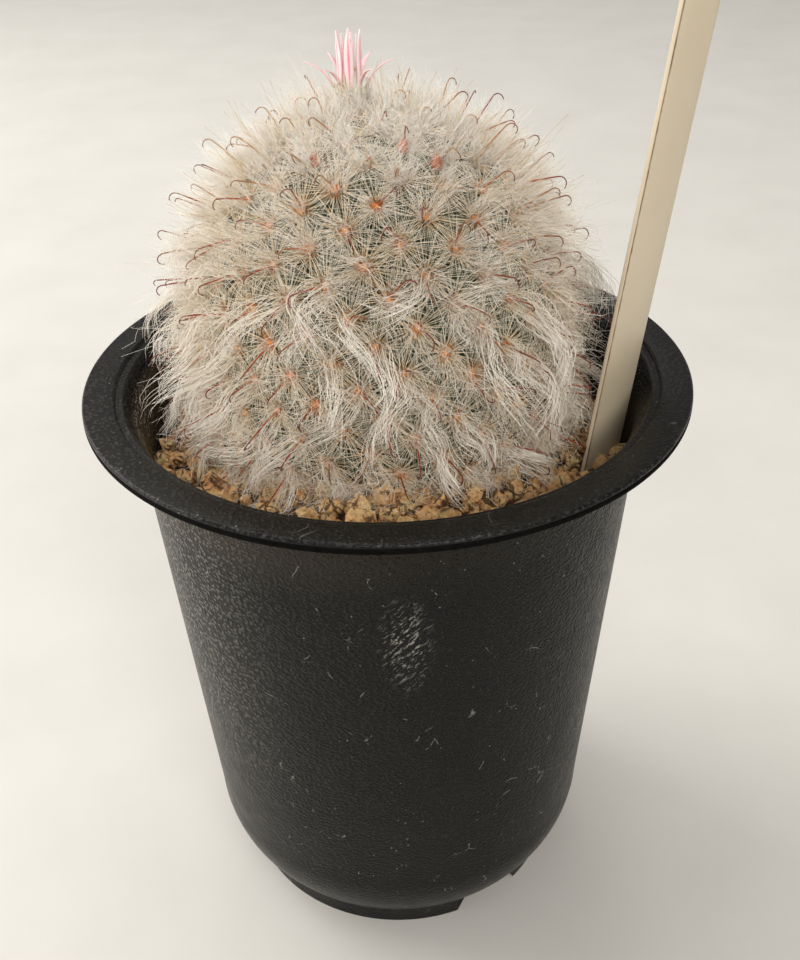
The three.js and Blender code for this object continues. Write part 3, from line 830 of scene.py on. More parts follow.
def hairTree():
    # every wisp has a shared path, and its hairs start apart and are pulled towards it
    desk, given = geometryTree("silky hair", {
        "Wisps": 1, "Hairs": 14, "Steps": 9, "Length": 0.012, "Rise": 0.6, "Fall": 0.3, "Spread": 0.6,
        "Lift": 0.3, "Droop": 0.9, "Scatter": 0.5, "Tuft": 0.8, "Wave": 0.0006, "Curl": 9.0,
        "Thickness": 0.00004, "Width": 0.00012, "Clear": 1.02, "Seed": 1})
    points = desk.add("GeometryNodeMeshToPoints", {0: given["Geometry"]})
    outward, slope, rank = desk.read("outward"), desk.read("slope"), desk.number("rank")
    low = desk.remap(rank, 0.12, 0.45, 0.1, 1.0, smooth=True)
    begin = desk.weighed((outward, given["Rise"]), (slope, desk.times(given["Fall"], low)),
                         (desk.randomVector(0), given["Spread"]))
    end = desk.weighed((outward, given["Lift"]), (slope, desk.times(given["Droop"], low)),
                       (desk.randomVector(1), given["Scatter"]))
    made = desk.store(desk.copies(points, given["Wisps"]), wispBegin=desk.vector("NORMALIZE", begin),
                      wispEnd=desk.vector("NORMALIZE", end), wispPhase=desk.randomVector(2))
    # hairs near the soil and on the crown are shorter
    length = desk.times(given["Length"], desk.remap(rank, 0.36, 0.58, 1.0, 0.66, smooth=True),
                        desk.remap(rank, 0.05, 0.33, 0.72, 1.0, smooth=True))
    made = desk.storeNumbers(made, wispLength=desk.times(length, desk.random(0.65, 1.15, 3)))
    made = desk.store(made, base=desk.add("GeometryNodeInputPosition"))
    # each hair is rooted beside the areole's middle and leans away from it
    aside = desk.randomVector(6)
    along = desk.scaled(outward, desk.vector("DOT_PRODUCT", aside, outward))
    aside = desk.vector("NORMALIZE", desk.vector("SUBTRACT", aside, along))
    ownBegin = desk.total(desk.read("wispBegin"), desk.scaled(aside, 0.4),
                          desk.scaled(desk.randomVector(4), 0.3))
    ownEnd = desk.total(desk.read("wispEnd"), desk.scaled(desk.randomVector(5), 0.35))
    made = desk.store(desk.copies(made, given["Hairs"]), ownBegin=ownBegin, ownEnd=ownEnd, ownOffset=aside)
    made = desk.storeNumbers(
        made, ownLength=desk.times(desk.number("wispLength"), desk.random(0.7, 1.08, 7)),
        pull=desk.times(given["Tuft"], desk.random(0.45, 1.0, 8)), column=pickColumn(desk, 9))

    def place(t):
        offset, base, length = desk.read("ownOffset"), desk.read("base"), desk.number("ownLength")
        root = desk.total(base, desk.scaled(offset, 0.75 * mm))
        own = easedPath(desk, t, root, desk.read("ownBegin"), desk.read("ownEnd"), length)
        shared = easedPath(desk, t, base, desk.read("wispBegin"), desk.read("wispEnd"), length)
        width = desk.remap(t, 0.1, 1.0, given["Width"], 0.03 * mm)
        shared = desk.total(shared, desk.scaled(offset, width))
        join = desk.times(desk.number("pull"), desk.remap(t, 0.0, 0.6, 0.0, 1.0, smooth=True))
        phase, private = desk.split(desk.read("wispPhase")), desk.split(offset)
        swing = []
        for axis, pace in ((0, 1.0), (1, 1.31)):
            turn = desk.fused(t, desk.times(given["Curl"], pace), desk.times(phase[axis], 3.1))
            turn = desk.plus(turn, desk.times(private[axis + 1], 0.5))
            swing.append(desk.times(desk.math("SINE", turn), desk.times(given["Wave"], t)))
        path = desk.total(desk.mixVector(join, own, shared), desk.scaled(desk.read("side"), swing[0]),
                          desk.scaled(desk.read("outward"), desk.times(swing[1], 0.7)))
        return keepOut(desk, path, given["Clear"])

    skin = growStrands(desk, made, given["Steps"], 3, place, given["Thickness"], 0.62)
    return closeTree(desk, skin, given["Finish"])


def bristleTree():
    desk, given = geometryTree("radial bristles", {
        "Count": 30, "Length": 0.0042, "Open": 72.0, "Vary": 13.0, "Thickness": 0.00007, "Seed": 1})
    points = desk.add("GeometryNodeMeshToPoints", {0: given["Geometry"]})
    turned = desk.storeNumbers(points, turn=desk.random(0.0, 6.28, 0), growth=desk.random(0.85, 1.12, 1))
    star = desk.copies(turned, given["Count"])
    share = desk.over(star.outputs["Duplicate Index"], given["Count"])
    angle = desk.plus(desk.fused(share, math.tau, desk.number("turn")), desk.random(-0.11, 0.11, 2))
    opened = desk.math("RADIANS", desk.plus(given["Open"], desk.times(
        given["Vary"], desk.random(-1.0, 1.0, 3))))
    flat = desk.weighed((desk.read("slope"), desk.math("COSINE", angle)),
                        (desk.read("side"), desk.math("SINE", angle)))
    direction = desk.weighed((desk.read("outward"), desk.math("COSINE", opened)),
                             (flat, desk.math("SINE", opened)))
    made = desk.store(star, direction=direction, flat=flat, base=desk.add("GeometryNodeInputPosition"))
    length = desk.times(given["Length"], desk.number("growth"), desk.random(0.72, 1.12, 4))
    made = desk.storeNumbers(made, ownLength=length, bow=desk.random(-0.2, 0.16, 5),
                             column=pickColumn(desk, 6))

    def place(t):
        length = desk.number("ownLength")
        root = desk.total(desk.read("base"), desk.scaled(desk.read("flat"), 0.3 * mm),
                          desk.scaled(desk.read("outward"), 0.2 * mm))
        bow = desk.times(desk.number("bow"), desk.times(t, t))
        straight = desk.scaled(desk.read("direction"), desk.times(length, t))
        return desk.total(root, straight, desk.scaled(desk.read("outward"), desk.times(bow, length)))

    skin = growStrands(desk, made, 4, 3, place, given["Thickness"], 0.7)
    return closeTree(desk, skin, given["Finish"])


def hookTree():
    desk, given = geometryTree("hooked spines", {
        "Length": 0.0085, "Bend": 0.0009, "Thickness": 0.00014, "Lean": 0.1, "Scatter": 0.4, "Seed": 1})
    points = desk.add("GeometryNodeMeshToPoints", {0: given["Geometry"]})
    outward, slope = desk.read("outward"), desk.read("slope")
    direction = desk.vector("NORMALIZE", desk.total(
        outward, desk.scaled(slope, given["Lean"]), desk.scaled(desk.randomVector(0), given["Scatter"])))
    made = desk.store(points, direction=direction)
    # the hook curls towards the foot, at right angles to the shaft
    down = desk.weighed((slope, 0.9), (desk.randomVector(1), 0.6))
    along = desk.vector("DOT_PRODUCT", down, desk.read("direction"))
    curl = desk.vector("SUBTRACT", down, desk.scaled(desk.read("direction"), along))
    made = desk.store(made, curl=desk.vector("NORMALIZE", curl), base=desk.add("GeometryNodeInputPosition"))
    # the youngest, on the crown, are still short
    length = desk.times(given["Length"], desk.remap(desk.number("rank"), 0.04, 0.2, 0.75, 1.0))
    made = desk.storeNumbers(
        made, shaft=desk.times(length, desk.random(0.55, 1.15, 2)),
        round=desk.times(given["Bend"], desk.random(0.75, 1.25, 3)),
        closing=desk.random(2.2, 3.5, 4), column=pickColumn(desk, 5))

    def place(t):
        shaft, size = desk.number("shaft"), desk.number("round")
        whole = desk.fused(size, desk.number("closing"), shaft)
        # more points near the tip, where the hook is
        eased = desk.minus(1.0, desk.math("POWER", desk.minus(1.0, t), 1.7))
        travelled = desk.times(whole, eased)
        turn = desk.math("MAXIMUM", desk.over(desk.minus(travelled, shaft), size), 0.0)
        straight = desk.math("MINIMUM", travelled, shaft)
        up = desk.fused(size, desk.math("SINE", turn), straight)
        out = desk.times(size, desk.minus(1.0, desk.math("COSINE", turn)))
        sag = desk.times(desk.math("POWER", desk.over(straight, shaft), 2.0), desk.times(shaft, 0.1))
        path = desk.total(desk.read("base"), desk.scaled(desk.read("direction"), up),
                          desk.scaled(desk.read("curl"), desk.plus(out, sag)))
        return besideLabel(desk, path)

    skin = growStrands(desk, made, 18, 5, place, given["Thickness"], 0.5)
    return closeTree(desk, skin, given["Finish"])


def bulbTree():
    desk, given = geometryTree("areole bulbs", {"Size": 0.00056, "Seed": 1})
    points = desk.add("GeometryNodeMeshToPoints", {0: given["Geometry"]})
    ball = desk.add("GeometryNodeMeshIcoSphere", {"Radius": given["Size"], "Subdivisions": 2})
    facing = desk.add("FunctionNodeAlignRotationToVector", {"Vector": desk.read("outward")}, axis="Z")
    size = desk.random(0.8, 1.2, 0)
    placed = desk.add("GeometryNodeInstanceOnPoints", {
        "Points": points, "Instance": ball, "Rotation": facing,
        "Scale": desk.join(size, size, desk.times(size, 1.2))})
    whole = desk.add("GeometryNodeRealizeInstances", {0: placed})
    lumps = desk.add("ShaderNodeTexNoise", {"Scale": 2200.0, "Detail": 2.0}).outputs[1]
    push = desk.scaled(desk.vector("SUBTRACT", lumps, (0.5, 0.5, 0.5)), 0.35 * mm)
    rough = desk.add("GeometryNodeSetPosition", {"Geometry": whole, "Offset": push})
    return closeTree(desk, rough, given["Finish"])


# settings of the strands are inputs of their trees
single = {"Tuft": 0.0, "Wave": 0.75 * mm, "Curl": 8.5}
locks = {
    "Hairs": 21, "Length": 16 * mm, "Thickness": 0.052 * mm, "Steps": 11, "Spread": 0.65, "Rise": 1.25,
    "Fall": 0.3, "Lift": 0.0, "Droop": 1.1, "Scatter": 0.9, "Tuft": 1.0, "Wave": 1.5 * mm, "Curl": 5.6,
    "Width": 0.28 * mm,
}
strays = {
    "Wisps": 10, "Hairs": 1, "Length": 13 * mm, "Thickness": 0.038 * mm, "Steps": 10, "Spread": 0.7,
    "Rise": 0.9, "Fall": 0.3, "Lift": 0.1, "Droop": 0.75, "Scatter": 1.1, "Tuft": 0.9, "Wave": 1.9 * mm,
    "Curl": 8.5,
}
fuzz = {
    "Hairs": 38, "Length": 8.4 * mm, "Thickness": 0.029 * mm, "Steps": 7, "Spread": 0.5, "Rise": 0.9,
    "Fall": 0.15, "Lift": 0.4, "Droop": 0.85, "Scatter": 0.75, **single,
}
haze = {
    "Hairs": 60, "Length": 7.5 * mm, "Thickness": 0.027 * mm, "Steps": 7, "Spread": 0.5, "Rise": 1.0,
    "Fall": 0.1, "Lift": 0.9, "Droop": 0.2, "Scatter": 0.45, **single,
}
straws = {
    "Hairs": 5, "Length": 8 * mm, "Thickness": 0.055 * mm, "Steps": 5, "Spread": 0.35, "Rise": 1.0,
    "Fall": 0.0, "Lift": 1.0, "Droop": 0.1, "Scatter": 0.3, "Tuft": 0.0, "Wave": 0.1 * mm,
}
wool = {
    "Wisps": 6, "Hairs": 14, "Length": 6.5 * mm, "Thickness": 0.032 * mm, "Scatter": 0.9, "Lift": 0.8,
    "Tuft": 0.35, "Wave": 0.9 * mm, "Curl": 13.0,
}
collar = {
    "Hairs": 70, "Length": 11 * mm, "Thickness": 0.027 * mm, "Steps": 7, "Spread": 0.4, "Rise": 1.0,
    "Fall": 0.0, "Lift": 1.0, "Droop": 0.0, "Scatter": 0.35, **single,
}
bristles = {"Count": 78, "Length": 5.6 * mm, "Thickness": 0.04 * mm}
hooks = {"Length": 6.2 * mm, "Bend": 0.76 * mm, "Thickness": 0.135 * mm}
# how far from the crown a kind of strand grows, as a share of the way to the foot; collar is millimetres
zones = {"lower": 0.29, "haze": 0.34, "straws": 0.3, "wool": 0.17, "allHooked": 0.35, "collar": 7}
# colours from root to tip
strandColours = {
    "white": ((0.0, (0.88, 0.78, 0.62)), (0.25, (0.96, 0.91, 0.83)), (1.0, (0.99, 0.96, 0.91))),
    "beige": ((0.0, (0.84, 0.72, 0.54)), (0.4, (0.93, 0.85, 0.71)), (1.0, (0.97, 0.92, 0.84))),
    "star": ((0.0, (0.80, 0.24, 0.05)), (0.16, (0.93, 0.52, 0.20)), (0.38, (0.94, 0.82, 0.62)),
             (1.0, (0.97, 0.93, 0.86))),
    "hook": ((0.0, (0.70, 0.24, 0.05)), (0.2, (0.40, 0.075, 0.025)), (0.6, (0.17, 0.026, 0.014)),
             (1.0, (0.12, 0.02, 0.013))),
    "straw": ((0.0, (0.62, 0.42, 0.20)), (0.5, (0.78, 0.62, 0.38)), (0.85, (0.72, 0.52, 0.28)),
              (1.0, (0.35, 0.12, 0.06))),
    "young": (0.97, 0.94, 0.88), "old": (0.90, 0.83, 0.72),
}


def crownTo(rank):
    return [place for place in areoles if place["rank"] < rank]


def growHair(tree, name, places, settings, finish, seed, sectors=1):
    # one piece, or one for each sector round the stem
    for number in range(sectors):
        part = [p for p in places if int((p["angle"] % math.tau) / math.tau * sectors) == number]
        mesh = runTree(tree, pointMesh("hair roots", part), finish, Seed=seed + 20 * number, **settings)
        addPiece(f"{name}_{number + 1}", mesh, "white_hair", "spine_coat")


def buildHair(shown):
    white, old = strandColours["white"], strandColours["old"]
    silky = strandFinish("silky white hair", white, (0.98, 0.96, 0.92), old)
    bright = strandFinish("bright white locks", white, (0.99, 0.98, 0.95), (0.97, 0.93, 0.86), vary=0.05)
    soft = strandFinish("soft beige hair", strandColours["beige"], strandColours["young"], old)
    straw = strandFinish("straw spine", strandColours["straw"], (0.74, 0.58, 0.34), old, 0.45, 0.2)
    tree = hairTree()
    lower = [p for p in shown if p["rank"] > zones["lower"]]
    tufted = [p for number, p in enumerate(lower) if number % 3]
    growHair(tree, "silky_wisps", tufted, locks, bright, 100)
    growHair(tree, "stray_hairs", lower, strays, bright, 150)
    growHair(tree, "soft_fuzz", shown, fuzz, soft, 200, sectors=3)
    growHair(tree, "crown_haze", crownTo(zones["haze"]), haze, silky, 300, sectors=2)
    growHair(tree, "straw_spines", crownTo(zones["straws"]), straws, straw, 350)
    growHair(tree, "crown_wool", crownTo(zones["wool"]), wool, silky, 400)
    # wool round the flower's foot, on its front side
    stand = stemCentre + flower["fromAxis"] * ringPoint(math.radians(flower["azimuth"]))
    near = [p for p in areoles if math.dist(p["spot"].xy, stand.xy) < zones["collar"]
            and p["spot"].y < stand.y]
    growHair(tree, "flower_wool", near, collar, silky, 450)
    print("hairs and wool grown")


def buildSpines(shown):
    star = strandFinish("radial bristle", strandColours["star"], strandColours["young"],
                        strandColours["old"], youth=0.3)
    hook = strandFinish("hooked spine", strandColours["hook"], (0.60, 0.42, 0.21), (0.9, 0.85, 0.8), 0.35,
                        0.85, 0.04, 0.1)
    orange = mottledFinish("orange areole", (0.62, 0.17, 0.035), (0.88, 0.44, 0.13), 900, 0.6)
    tree = bristleTree()
    for number in range(3):
        roots = pointMesh("bristle roots", shown[number::3])
        mesh = runTree(tree, roots, star, Seed=500 + 20 * number, **bristles)
        addPiece(f"radial_bristles_{number + 1}", mesh, "white_hair", "spine_coat")
    hooked = [p for number, p in enumerate(shown) if number % 5 != 3 or p["rank"] < zones["allHooked"]]
    mesh = runTree(hookTree(), pointMesh("hook roots", hooked), hook, Seed=600, **hooks)
    addPiece("hooked_spines", mesh, "hooked_spine", "spine_coat")
    mesh = runTree(bulbTree(), pointMesh("bulb roots", shown), orange, Seed=700)
    addPiece("areole_bulbs", mesh, "hooked_spine", "spine_coat")
    print("bristles, hooked spines and areoles grown")


def buildCoat():
    shown = [place for place in areoles if place["spot"].z > soilHeight(place["spot"]) - 1]
    buildHair(shown)
    buildSpines(shown)


# Soil

def soilSurface(place):
    # the bed's own unevenness
    return 0.7 * noise.fractal(place * 0.35, 0.9, 2, 4)


granules = {"Spacing": 2.6 * mm, "Density": 400000.0, "Seed": 7}
crumbs = {"Spacing": 1.3 * mm, "Density": 900000.0, "Sink": 0.0, "Small": 0.4, "Large": 1.05, "Seed": 8}


def granuleTree():
    desk, given = geometryTree("soil granules", {
        "Spacing": 0.0023, "Density": 300000.0, "Small": 0.6, "Large": 1.3, "Sink": 0.25, "Seed": 1})
    spacing = given["Spacing"]
    spread = desk.add("GeometryNodeDistributePointsOnFaces", {
        0: given["Geometry"], "Distance Min": spacing, "Density Max": given["Density"],
        "Seed": given["Seed"]}, distribute_method="POISSON")
    ball = desk.add("GeometryNodeMeshIcoSphere", {"Radius": desk.times(spacing, 0.56), "Subdivisions": 2})
    spin = desk.add("FunctionNodeEulerToRotation", {0: desk.scaled(desk.randomVector(1), 3.14)})
    size = desk.random(given["Small"], given["Large"], 2)
    stretch = desk.total(desk.scaled(desk.randomVector(3), 0.25), (1.0, 1.0, 0.95))
    placed = desk.add("GeometryNodeInstanceOnPoints", {
        "Points": spread, "Instance": ball, "Rotation": spin, "Scale": desk.scaled(stretch, size)})
    whole = desk.add("GeometryNodeRealizeInstances", {0: placed})
    lumps = desk.add("ShaderNodeTexNoise", {
        "Vector": desk.add("GeometryNodeInputPosition"), "Scale": desk.over(1.7, spacing), "Detail": 4.0,
        "Roughness": 0.72}).outputs[1]
    push = desk.scaled(desk.vector("SUBTRACT", lumps, (0.5, 0.5, 0.5)), desk.times(spacing, 1.6))
    lift = desk.join(0.0, 0.0, desk.times(spacing, given["Sink"]))
    rough = desk.add("GeometryNodeSetPosition", {"Geometry": whole, "Offset": desk.total(push, lift)})
    return closeTree(desk, rough, given["Finish"])


def soilPatch(inner, outer):
    # the open ring of soil that granules lie on
    steps, segments = 12, 90
    bm = bmesh.new()
    rings = []
    for i in range(steps + 1):
        ring = []
        for k in range(segments):
            place = ringPoint(math.tau * k / segments, inner + (outer - inner) * i / steps, soil["level"])
            place.z = soilHeight(place) + soilSurface(place)
            ring.append(bm.verts.new(place * mm))
        rings.append(ring)
    for near, far in zip(rings, rings[1:]):
        for k in range(segments):
            bm.faces.new((near[k], far[k], far[(k + 1) % segments], near[(k + 1) % segments]))
    return toMesh("soil patch", bm)


def soilBed():
    edge = wallRadius(soil["level"]) - pot["wall"] - soil["gap"]
    # narrower over the rounding of the pot's floor
    side = [(wallRadius(h) - pot["wall"] - soil["gap"] - (0.9 if h < 6 else 0), h)
            for h in (5.35, 7.5, 10, 13, 16.5, 28, 40, 52, 64, 72, soil["level"])]
    surface = [(edge * (1 - i / 24), soil["level"]) for i in range(1, 25)]

    def uneven(place, line):
        if line >= len(side):
            place.z = soilHeight(place) + (soilSurface(place) if line > len(side) else 0)
        return place

    return toMesh("soil bed", lathe([(0, side[0][1])] + side + surface, 120, move=uneven))


def buildSoil():
    edge = wallRadius(soil["level"]) - pot["wall"] - soil["gap"]
    # painted shade: the bed is dark partly as earth, partly to stand in for the shade in the gaps between
    # the granules
    earth = soilFinish("potting earth and gap shade", (0.22, 0.11, 0.05), (0.12, 0.058, 0.028),
                       (0.035, 0.019, 0.011))
    addPiece("soil_bed_body", soilBed(), "soil_granules", "soil_bed", finish=earth)
    ochre = soilFinish("crumbly ochre granule", (1.0, 0.74, 0.38), (0.88, 0.48, 0.20),
                       (0.075, 0.03, 0.012))
    tree = granuleTree()
    looseGrains = [f"soil_grain_{number:02d}" for number in range(1, 13)]
    for name, inner, outer, settings, nodes in (
            ("ochre_granules", 20, edge - 0.9, granules, ["soil_bed", *looseGrains]),
            ("soil_crumbs", 22, edge - 0.5, crumbs, ["soil_bed"])):
        mesh = runTree(tree, soilPatch(inner, outer), ochre, **settings)
        sharpen(mesh, 32)
        addPiece(name, mesh, "soil_granules", *nodes)
    print("soil filled")


# Flower and buds

flower = {"fromAxis": 8.3, "azimuth": 112, "tilt": 1, "lift": 0.7, "tube": 2.6}
flowerRise = flower["tube"] + 0.35
tepalRings = (
    {"name": "outer_tepals", "node": "outer_tepal", "count": 6, "ring": 2.2, "length": 5.4,
     "width": 0.8, "lean": 30, "curl": 58},
    {"name": "middle_tepals", "node": "middle_tepal", "count": 6, "ring": 1.62, "length": 7.5,
     "width": 1.5, "lean": 0.5, "curl": 4},
    {"name": "inner_tepals", "node": "inner_tepal", "count": 5, "ring": 1.0, "length": 7.1,
     "width": 1.0, "lean": 0, "curl": 3},
)
stamens = {"count": 11, "circle": 0.42, "lean": 0.25, "height": 2.7, "thickness": 0.06, "knob": 0.42,
           "knobRadius": 0.17}
style = {"height": 4.4, "thickness": 0.09, "lobes": 5}
buds = {"places": ((13.4, 236), (11.2, 289), (14.2, 303)), "radius": 0.85, "height": 2.6}


def crownHeight(fromAxis):
    inside = 1 - (fromAxis / body["radius"]) ** body["crownPower"]
    return body["crown"] * inside ** (1 / body["crownPower"])


def crownPlace(fromAxis, azimuth, tilt, lift):
    # stands a piece on the crown, in millimetres
    direction = ringPoint(math.radians(azimuth))
    base = stemCentre + direction * fromAxis + Vector((0, 0, crownHeight(fromAxis) + lift))
    lean = Matrix.Rotation(math.radians(tilt), 4, Vector((0, 0, 1)).cross(direction))
    return Matrix.Translation(base) @ lean


def addTepal(bm, flat, shape, turn, place):
    rows, sides = 16, 12
    grid = []
    for i in range(rows + 1):
        t = i / rows
        taper = max(0.42 + 1.05 * t - 1.42 * t ** 3, 0.1)
        half = shape["width"] / 2 * taper / 0.86
        thick = 0.2 * (1 - 0.65 * t)
        angle = math.radians(shape["lean"] + shape["curl"] * t ** 2)
        path = math.radians(shape["lean"] + shape["curl"] * t ** 2 / 3)
        middle = Vector((shape["length"] * t * math.sin(path), 0, shape["length"] * t * math.cos(path)))
        row = []
        for k in range(sides):
            around = math.tau * k / sides
            across = half * math.cos(around)
            cup = 0.16 * across ** 2
            proud = thick * math.sin(around) - cup
            spot = middle + Vector((proud * math.cos(angle), across, -proud * math.sin(angle)))
            spot.x += shape["ring"]
            row.append((bm.verts.new(place @ (turn @ spot) * mm), 0.5 + 0.46 * math.cos(around), t))
        grid.append(row)
    for lower, upper in zip(grid, grid[1:]):
        for k in range(sides):
            corners = (lower[k], lower[(k + 1) % sides], upper[(k + 1) % sides], upper[k])
            face = bm.faces.new([corner[0] for corner in corners])
            for loop, corner in zip(face.loops, corners):
                loop[flat].uv = corner[1:]
    for row, t in ((grid[0][::-1], 0.02), (grid[-1], 0.98)):
        face = bm.faces.new([corner[0] for corner in row])
        for loop, corner in zip(face.loops, row):
            loop[flat].uv = (corner[1], t)


def buildTepals(place):
    pale = tepalFinish("pale pink tepal", (0.96, 0.82, 0.82), (0.84, 0.32, 0.46), (0.80, 0.74, 0.60))
    deep = tepalFinish("deep pink tepal", (0.88, 0.62, 0.65), (0.78, 0.36, 0.46), (0.66, 0.58, 0.42))
    for layer, shape in enumerate(tepalRings):
        bm = bmesh.new()
        flat = bm.loops.layers.uv.new("tepalMap")
        for i in range(shape["count"]):
            turn = Matrix.Rotation((i + 0.5 * layer) * math.tau / shape["count"], 4, "Z")
            turn = Matrix.Translation((0, 0, flowerRise)) @ turn
            addTepal(bm, flat, shape, turn, place)
        bmesh.ops.recalc_face_normals(bm, faces=bm.faces)
        slot, finish = ("petal_pale", pale) if layer else ("petal_pink", deep)
        nodes = [f"{shape['node']}_{i + 1}" for i in range(shape["count"])]
        addPiece(shape["name"], toMesh(shape["name"], bm), slot, *nodes, finish=finish)


def buildTube(place, green):
    outline = divide([(0, 0), (1.4, 0.05), (1.55, 0.5), (1.5, 1.3), (2.1, 2.1), (2.5, 2.55), (2.3, 2.6),
                      (0, 2.55)], 0.4)
    bm = lathe(outline, 36)
    bm.transform(Matrix.Scale(mm, 4) @ place @ Matrix.Scale(1 / mm, 4))
    addPiece("flower_tube_body", toMesh("flower tube", bm), "flower_green", "flower_tube", finish=green)


def buildStamens(place):
    bm = bmesh.new()
    steps = [k / 6 for k in range(7)]
    knobRadii = [stamens["knobRadius"] * math.sin(math.pi * (0.12 + 0.76 * t)) for t in steps]
    for i in range(stamens["count"]):
        angle = i * goldenAngle
        foot = ringPoint(angle, stamens["circle"], flowerRise - 0.2)
        top = foot + ringPoint(angle, stamens["lean"], stamens["height"] + 0.12 * (i % 4))
        tube(bm, [place @ foot.lerp(top, t) for t in steps], [stamens["thickness"]] * 7, 6)
        knob = [place @ (top + Vector((0, 0, stamens["knob"] * (t - 0.5)))) for t in steps]
        tube(bm, knob, knobRadii, 8)
    pollen = mottledFinish("yellow pollen", (0.72, 0.50, 0.12), (0.9, 0.72, 0.3), 2500, 0.7)
    addPiece("flower_stamens_fine", toMesh("stamens", bm), "pollen", "flower_stamens", finish=pollen)


def buildStyle(place, green):
    bm = bmesh.new()
    path = [place @ Vector((0, 0, flowerRise + style["height"] * k / 8)) for k in range(9)]
    tube(bm, path, [style["thickness"]] * 9, 8)
    for i in range(style["lobes"]):
        angle = i * math.tau / style["lobes"]
        path = [place @ ringPoint(angle, 0.5 * t, flowerRise + 4.35 + 0.35 * t - 0.2 * t * t)
                for t in (k / 6 for k in range(7))]
        tube(bm, path, [0.08, 0.1, 0.11, 0.11, 0.1, 0.08, 0.05], 7)
    addPiece("flower_style_fine", toMesh("style", bm), "flower_green", "flower_style", finish=green)


def buildBuds():
    bm = bmesh.new()
    for fromAxis, azimuth in buds["places"]:
        spot = crownPlace(fromAxis, azimuth, 0.9 * fromAxis, 0.7)
        steps = [k / 16 for k in range(17)]
        outline = [(buds["radius"] * math.sin(math.pi * t) ** 0.75 * (1.12 - 0.5 * t), buds["height"] * t)
                   for t in steps]
        outline[0], outline[-1] = (0, 0), (0, buds["height"])
        part = lathe(outline, 30)
        for vert in part.verts:
            # six shallow folds that turn a little on the way up
            angle = math.atan2(vert.co.y, vert.co.x)
            fold = 1 + 0.05 * math.cos(6 * angle + 900 * vert.co.z)
            vert.co = (spot @ Vector((vert.co.x / mm * fold, vert.co.y / mm * fold, vert.co.z / mm))) * mm
        piece = toMesh("bud", part)
        bm.from_mesh(piece)
        bpy.data.meshes.remove(piece)
    skin = mottledFinish("red pink bud", (0.30, 0.10, 0.06), (0.54, 0.26, 0.17), 500, 0.5, subsurface=0.2)
    nodes = [f"flower_bud_{number}" for number in (1, 2, 3)]
    addPiece("flower_buds", toMesh("buds", bm), "petal_pink", *nodes, finish=skin)


def buildFlower():
    place = crownPlace(flower["fromAxis"], flower["azimuth"], flower["tilt"], flower["lift"])
    buildTepals(place)
    green = mottledFinish("pale green flower tube", (0.42, 0.46, 0.24), (0.62, 0.62, 0.40), 700, 0.5)
    buildTube(place, green)
    buildStamens(place)
    buildStyle(place, green)
    buildBuds()
    print("flower opened")


# Label

def buildLabel():
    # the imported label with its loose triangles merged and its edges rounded
    bm = bmesh.new()
    bm.from_mesh(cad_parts["plant_label"].data)
    bmesh.ops.remove_doubles(bm, verts=bm.verts, dist=0.01 * mm)
    bmesh.ops.dissolve_limit(bm, angle_limit=math.radians(2), verts=bm.verts, edges=bm.edges)
    edges = [edge for edge in bm.edges if edge.is_manifold and edge.calc_face_angle(0) > 0.3]
    bmesh.ops.bevel(bm, geom=edges, offset=label["bevel"] * mm, segments=3, profile=0.5, affect="EDGES")
    bmesh.ops.triangulate(bm, faces=[face for face in bm.faces if len(face.verts) > 4])
    bmesh.ops.subdivide_edges(bm, edges=[e for e in bm.edges if e.calc_length() > 0.008], cuts=6)
    mesh = toMesh("label sheet", bm)
    sharpen(mesh, 40)
    addPiece("label_sheet", mesh, "label_plastic", "plant_label", finish=labelPlastic())


# Floor, light and camera

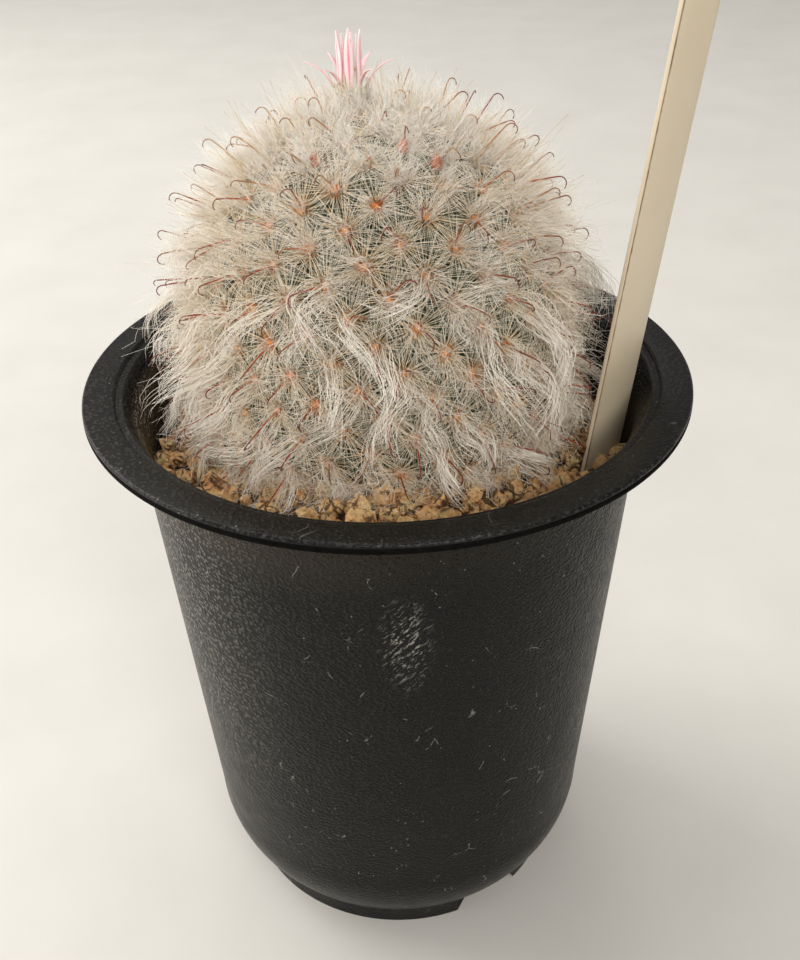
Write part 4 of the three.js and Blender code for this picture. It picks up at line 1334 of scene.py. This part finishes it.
def buildFloor():
    bm = bmesh.new()
    bmesh.ops.create_grid(bm, x_segments=40, y_segments=40, size=4)
    floor = bpy.data.objects.new("studio_floor", toMesh("studio floor", bm))
    bpy.context.scene.collection.objects.link(floor)
    finish, desk, shader, coords = newFinish("pale floor")
    colour = desk.ramp(desk.noise(coords, 30, 4), (0.3, (0.62, 0.61, 0.58)), (0.7, (0.66, 0.65, 0.62)))
    wire(desk, shader, colour, 0.7)
    floor.data.materials.append(finish)


lamps = (
    ("window", (-0.75, 0.32, 0.57), (0.6, 0.6), 5.6, (1, 0.97, 0.92)),
    ("low window", (-0.8, -0.15, 0.2), (0.5, 0.3), 1.8, (1, 0.98, 0.95)),
    ("ceiling", (-0.25, 0.4, 1.0), (1.0, 1.0), 6, (1, 0.96, 0.9)),
    ("front room", (0.15, -0.85, 0.6), (0.8, 0.5), 7, (1, 0.95, 0.88)),
)
lampAim = Vector((0, 0, 0.07))


def addLamp(name, place, size, power, colour):
    lamp = bpy.data.lights.new(name, "AREA")
    lamp.shape = "RECTANGLE"
    lamp.size, lamp.size_y = size
    lamp.energy = power
    lamp.color = colour
    holder = bpy.data.objects.new(name, lamp)
    holder.location = Vector(place)
    holder.rotation_euler = (lampAim - holder.location).to_track_quat("-Z", "Y").to_euler()
    bpy.context.scene.collection.objects.link(holder)


camera = {"place": (0, -160.15, 178.1), "aim": (1.49, 0, 73.5), "roll": -1.48, "lens": 45}


def buildStudio():
    scene = bpy.context.scene
    buildFloor()
    sky = bpy.data.worlds.new("soft room")
    sky.use_nodes = True
    air = sky.node_tree.nodes["Background"]
    air.inputs["Color"].default_value = (0.86, 0.85, 0.82, 1)
    air.inputs["Strength"].default_value = 0.4
    scene.world = sky
    for settings in lamps:
        addLamp(*settings)
    eye = bpy.data.cameras.new("camera")
    eye.lens = camera["lens"]
    eye.clip_start = 0.01
    holder = bpy.data.objects.new("camera", eye)
    place, aim = Vector(camera["place"]) * mm, Vector(camera["aim"]) * mm
    holder.location = place
    holder.rotation_mode = "QUATERNION"
    roll = Quaternion((0, 0, 1), math.radians(camera["roll"]))
    holder.rotation_quaternion = (aim - place).to_track_quat("-Z", "Y") @ roll
    scene.collection.objects.link(holder)
    scene.camera = holder
    scene.view_settings.view_transform = "Standard"


buildStudio()
buildPot()
print("pot turned")
buildSoil()
buildStem()
print("stem shaped")
buildCoat()
buildFlower()
buildLabel()
print("label planted")
